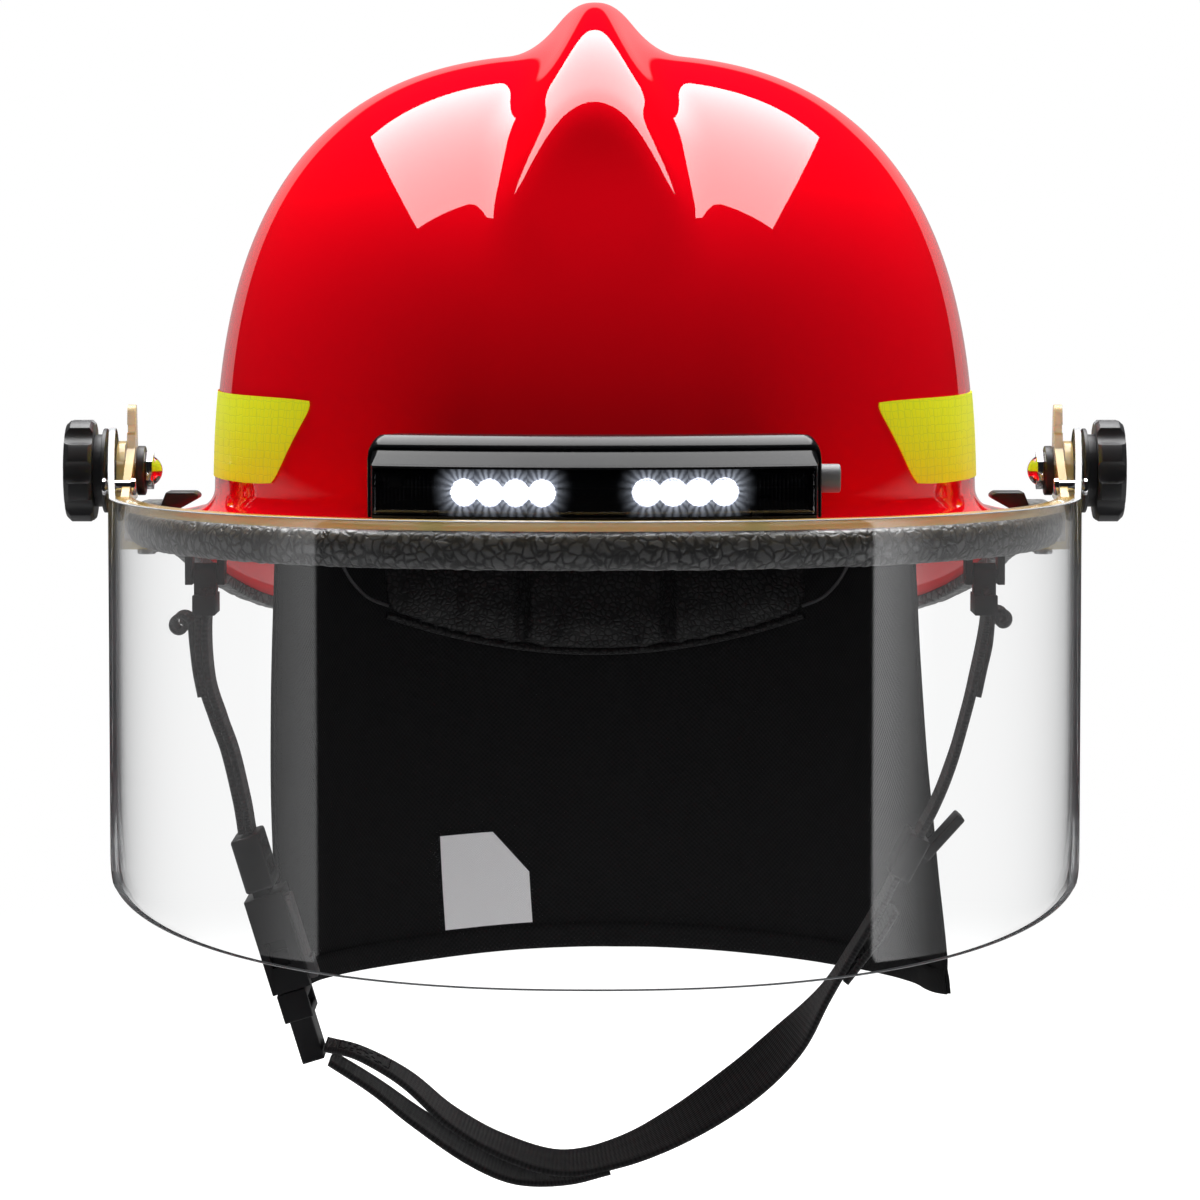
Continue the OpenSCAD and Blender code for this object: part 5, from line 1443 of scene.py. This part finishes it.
print("tape outline has", len(web_outline(STRAP_T)), "points")

# %% [markdown]
# The left strap hangs in two layers from a black eye on the hanger's pin and takes
# the buckle. Its loose end is rolled and sewn, as is usual so that it can't slip
# back through the buckle. The eye is the upper part of the CAD solid.

# %% Left chin strap
LEFT_ROUTE = [(-119, -17), (-121, -28), (-120, -45), (-116.5, -57), (-113, -67), (-109.5, -82), (-107.8, -92)]
LEFT, RIGHT = "chin_left", "chin_right"
EYE_LOW, ROLL_STEPS, ROLL_TIGHTENS = -25.2, 16, 0.13


def rolled_end(side, start, centre, radius):
    """Route of a tape end that runs up beside the strap and then winds round itself."""
    route = [(side * x, z) for x, z in start]
    for k in range(ROLL_STEPS):
        turn = radians(30 * k)
        r = radius - ROLL_TIGHTENS * k
        route.append((side * (centre[0] - r * cos(turn)), centre[1] + r * sin(turn)))
    return route


softened("strap_left", black_plastic, 0.6, name="strap_eye_left", keep_above=EYE_LOW)
left_frames = strap_frames(LEFT_ROUTE)
tape_piece("left_strap_outer", left_frames, webbing, LEFT)
inner_frames = strap_frames([(x + STRAP_T + 0.2, z) for x, z in LEFT_ROUTE])
tape_piece("left_strap_inner", inner_frames, webbing, LEFT)
roll = rolled_end(-1, [(120.3, -50), (121.8, -42), (122.7, -34)], (126.4, -28.2), 3.3)
tape_piece("left_strap_roll", strap_frames(roll, steps=5), webbing, LEFT, thick=1.5)
sewn_box("left_strap_stitches", left_frames, (26, 38), STRAP_T / 2 + 0.05, LEFT)

# %% [markdown]
# The long web crosses under the chin from the buckle's tongue, turns over to lie
# broad side to the front, and climbs through the slider to the right hanger. Its
# second layer lies under the first near the tongue.

# %% Chin web
WEB_ROUTE = [
    (-83, -158), (-72, -161), (-58, -169), (-44, -181), (-28, -190), (-10, -195), (8, -191.5),
    (26, -183), (44, -171), (59, -157.5), (71, -142), (80, -127.5), (88, -114), (96, -99), (104, -84),
    (109.5, -70), (114, -54), (117.5, -38), (119.5, -26), (119, -17),
]
WEB_TWIST = [0, 0, 4, 8, 10, 12, 16, 26, 34, 28, 4, 0, 0, 0, 0, 0, 0, 0, 0, 0]
UNDER_ROUTE = [
    (-81.4, -162.4), (-68, -171), (-54, -181.5), (-38, -192), (-24, -197.6), (-9, -197.6), (4, -194.1),
]
UNDER_TWIST = [0, 2, 6, 9, 11, 12, 15]
RETURN_ROUTE = [(92.1, -115.9), (87.3, -124.2), (82.5, -130.3), (76.7, -137.8)]

softened("chin_web", black_plastic, 0.6, name="strap_eye_right", keep_above=EYE_LOW)
web_frames = strap_frames(WEB_ROUTE, WEB_TWIST)
tape_piece("chin_web_tape", web_frames, webbing, RIGHT)
tape_piece("chin_web_under", strap_frames(UNDER_ROUTE, UNDER_TWIST), webbing, RIGHT)
return_frames = strap_frames(RETURN_ROUTE)
tape_piece("slider_return", return_frames, webbing, RIGHT, ("web_return",))
roll = rolled_end(1, [(116.9, -50), (118.6, -42), (120.3, -34)], (124.0, -26.4), 3.0)
tape_piece("right_strap_roll", strap_frames(roll, steps=5), webbing, RIGHT, thick=1.5)
sewn_box("chin_web_stitches", web_frames, (4, 16), STRAP_T / 2 + 0.05, RIGHT)
sewn_box("return_stitches", return_frames, (18, 28), -STRAP_T / 2 - 0.05, RIGHT)
print("chin strap has", len(web_frames), "frames in its long web")

# %% [markdown]
# Inside the dome two harness tapes cross over the head. Each is a rounded arch
# from clip to clip; the one from front to back passes under the other.

# %% Crown straps
CROWN_T, CROWN_FOOT, ARCH_STEPS = 1.5, 17.0, 120


def arch_frames(front, rear, high, power, turn):
    """Frames of an arch. A turn of a quarter puts it from side to side."""
    frames = []
    for i in range(ARCH_STEPS + 1):
        t = pi * i / ARCH_STEPS
        c, s = cos(t), sin(t)
        reach = front if c > 0 else rear
        q = ((abs(c) / reach) ** power + (s / high) ** power) ** (-1 / power) - CROWN_T / 2
        frames.append(Vector((q * c, 0, CROWN_FOOT + q * s)))
    spin_it = Matrix.Rotation(turn, 3, "Z")
    made = []
    for i, spot in enumerate(frames):
        h = heading(frames, i).normalized()
        made.append((spin_it @ spot, spin_it @ Vector((0, -1, 0)), spin_it @ Vector((h.z, 0, -h.x))))
    return made


for node, shape in (
    ("crown_strap_cross", arch_frames(88.8, 88.8, 101.3, 2.4, 0)),
    ("crown_strap_long", arch_frames(114.8, 106.8, 99.3, 1.9, pi / 2)),
):
    tape_piece(node + "_tape", shape, harness, HELMET, (node,), SLOT_OF[node], CROWN_T)
    sewn_box(node + "_stitches", shape, (5, 12), -CROWN_T / 2 - 0.05, HELMET, SLOT_OF[node])
print("harness tapes crossed")

# %% [markdown]
# ## Pads
# A pad is a cover of soft leather over foam. Its form starts as a thin closed
# shell, a little smaller than the pad. Blender's cloth solver then blows it up with
# a small pressure, as the foam does, and no point may move farther than a cap.
# The sewn channels are pressed in afterwards, because the remesh would erase them.

# %% Pad helpers
PRESSURE, SWELLING_FRAMES = 4.0, 20


def plumped(cols, rows, place, thickness, voxel, cap):
    """A closed form from a thickened grid, swollen."""
    bm = from_grid(cols, rows, place)
    thicken(bm, thickness)
    mesh = bpy.data.meshes.new("pad_form")
    bm.to_mesh(mesh)
    bm.free()
    form = bpy.data.objects.new("pad_form", mesh)
    scene.collection.objects.link(form)
    remesh = form.modifiers.new("remesh", "REMESH")
    remesh.mode, remesh.voxel_size = "VOXEL", voxel * MM
    graph = bpy.context.evaluated_depsgraph_get()
    form.data = bpy.data.meshes.new_from_object(form.evaluated_get(graph))
    form.modifiers.clear()
    start = [v.co.copy() for v in form.data.vertices]
    swollen = start
    cloth = form.modifiers.new("cloth", "CLOTH")
    cloth.settings.use_pressure = True
    cloth.settings.uniform_pressure_force = PRESSURE
    cloth.settings.effector_weights.gravity = 0
    began = scene.frame_current
    for number in range(1, SWELLING_FRAMES + 1):
        scene.frame_set(number)
    graph = bpy.context.evaluated_depsgraph_get()
    swollen = [v.co.copy() for v in form.evaluated_get(graph).data.vertices]
    scene.frame_set(began)
    made = bmesh.new()
    made.from_mesh(form.data)
    made.verts.ensure_lookup_table()
    farthest = 0.0
    for vert, old, new in zip(made.verts, start, swollen):
        move = new - old
        farthest = max(farthest, move.length)
        vert.co = old + move * min(1.0, cap * MM / max(move.length, 1e-9))
    bpy.data.objects.remove(form)
    print("pad of", len(made.verts), "points swelled by up to", round(farthest / MM, 1), "mm")
    return made


def pad_piece(name, bm, finish, node):
    made = piece(name, bm, finish, HELMET, (node,), SLOT_OF[node])
    soft = made.modifiers.new("soft", "SUBSURF")
    soft.levels = soft.render_levels = 1


# %% [markdown]
# The pad at the nape hangs from the headband under the trim. Two sewn channels
# part it in three. They are pressed in once the pad is blown up, and the foam
# between them is made fuller on the side that faces the neck.

# %% Nape pad
PAD_HALF, PAD_TOP, PAD_LOW, PAD_RISE, PAD_Y = 70.0, -8.0, -46.0, 14.0, 94.0
CHANNELS, CHANNEL_HALF = (0.33, 0.67), 0.022


def pad_line(x, low_by=0.0):
    low = PAD_LOW + PAD_RISE * (x / PAD_HALF) ** 2 + low_by
    return PAD_Y * sqrt(1 - (x / 125) ** 2), low


def pad_place(u, v):
    a, b = pillow(u, v, 0.1, 0.16, 6, 6)
    x = (PAD_HALF - 1.2) * a
    y, low = pad_line(x, 1.6)
    top = PAD_TOP - 1.2
    return Vector((x, y + 0.35, top + (low - top) * (b + 1) / 2)) * MM


bm = plumped(90, 30, pad_place, 2.2, 1.5, 1.3)
for vert in bm.verts:
    x, y, z = vert.co / MM
    u = (x / PAD_HALF + 1) / 2
    middle, low = pad_line(x)
    groove = max(0.0, 1 - min(abs(u - c) for c in CHANNELS) / CHANNEL_HALF)
    edge = min(PAD_TOP - z, z - low, PAD_HALF - abs(x))
    fullness = 1 + 0.9 * ease(edge / 14) * (y < middle + 0.3)
    y = middle + (y - middle) * fullness * (1 - 0.75 * ease(groove))
    wrinkle = 0.16 * noise.noise(Vector((x * 0.22, z * 0.06, 3))) * ease(edge / 5)
    vert.co.y = (y + wrinkle) * MM
bm.normal_update()
pad_piece("nape_pad_cover", bm, pad_leather, "nape_pad")
print("nape pad is", 2 * PAD_HALF, "mm wide")

# %% [markdown]
# A cord of piping closes the pad's lower edge, a thin elastic at each end ties it to
# the band, and two upright seams hold its channels. A cord is a tube along a route.
# Its sides are carried on from point to point, so that it doesn't twist.

# %% Piping, elastic and seams
TUBE_STEPS, TUBE_SIDES = 6, 10


def tube(name, points, radius, finish, slot):
    """A round cord along a route, with its ends closed."""
    line = curve_through(points, TUBE_STEPS)
    last = len(line) - 1
    side = Vector((0, 1, 0.3))
    frames = []
    for i, spot in enumerate(line):
        ahead = heading(line, i).normalized()
        side = (side - ahead * side.dot(ahead)).normalized()
        frames.append((spot, side, ahead.cross(side)))

    def place(u, v):
        spot, a, b = frames[round(u * last)]
        turn = 2 * pi * v
        return (spot + (a * cos(turn) + b * sin(turn)) * radius) * MM

    bm = from_grid(last, TUBE_SIDES, place, (0.2, 0.01), merge=0.000002)
    close_ends(bm)
    return piece(name, bm, finish, HELMET, (), slot, flat_above=60)


piping = []
for k in range(29):
    x = (PAD_HALF - 2.5) * (k / 14 - 1)
    y, low = pad_line(x, 1.2)
    piping.append((x, y + 0.2, low))
tube("nape_pad_piping", piping, 1.3, pad_leather, SLOT_OF["nape_pad"])
ELASTIC_ROUTE = [
    (82, 40, 4), (83.5, 52, -6), (81.5, 66, -14), (78.5, 73, -20.5), (73.5, 76.5, -26), (67, 79.5, -29),
]
for side, word in ((-1, "left"), (1, "right")):
    route = [(side * x, y, z) for x, y, z in ELASTIC_ROUTE]
    tube("nape_elastic_" + word, route, 0.55, elastic_grey, "webbing")
lines = []
for u in CHANNELS:
    for k in range(8):
        x = PAD_HALF * (2 * u - 1)
        y, low = pad_line(x)
        z = PAD_TOP - 4 - (PAD_TOP - low - 9) * k / 8
        lines.append([Vector((x, y - 1.1, h)) * MM for h in (z, z - 2.2)])
stitches("nape_pad_stitches", lines, 0.0003, thread, HELMET, SLOT_OF["nape_pad"])
print("nape pad sewn")

# %% [markdown]
# The brow pad is a long strip inside the front of the headband. It carries five
# upright rows of stitches that divide the foam into soft ribs.

# %% Brow pad
BROW_X, BROW_Y, BROW_N, BROW_T = 81.7, 100.7, 2.1, 6.0
BROW_LOW, BROW_HIGH, BROW_END = 1.0, 28.0, radians(24)
BROW_STEP, BROW_GROOVE, BROW_SEWN = 24.0, 2.4, 60


def brow_place(u, v):
    a, b = pillow(u, v, 0.03, 0.2, 6, 10)
    az = -pi / 2 + (pi / 2 - BROW_END) * a * 0.985
    q = oval_r(az, BROW_X, BROW_Y, BROW_Y, BROW_N) - BROW_T / 2
    z = (BROW_LOW + BROW_HIGH) / 2 + (BROW_HIGH - BROW_LOW - 2.6) / 2 * b
    return polar(q, az, z)


bm = plumped(120, 20, brow_place, 3.2, 2.0, 1.2)
for vert in bm.verts:
    x, y, z = vert.co / MM
    az = atan2(y, x)
    q, middle = hypot(x, y), oval_r(az, BROW_X, BROW_Y, BROW_Y, BROW_N) - BROW_T / 2
    from_row = abs((x + BROW_STEP / 2) % BROW_STEP - BROW_STEP / 2)
    groove = max(0.0, 1 - from_row / BROW_GROOVE) * (abs(x) < BROW_SEWN)
    q = middle + (q - middle) * (1 - 0.6 * ease(groove))
    vert.co = polar(q, az, z)
bm.normal_update()
pad_piece("brow_pad_cover", bm, hide, "brow_pad")
lines = []
for i in range(-2, 3):
    for k in range(7):
        x = i * BROW_STEP
        y = -BROW_Y * (1 - (abs(x) / BROW_X) ** BROW_N) ** (1 / BROW_N) + BROW_T / 2 + 1.2
        z = BROW_LOW + 3.5 + 3 * k
        lines.append([Vector((x, y, h)) * MM for h in (z, z + 2)])
stitches("brow_pad_stitches", lines, 0.0003, thread, HELMET, SLOT_OF["brow_pad"])
print("brow pad sewn")
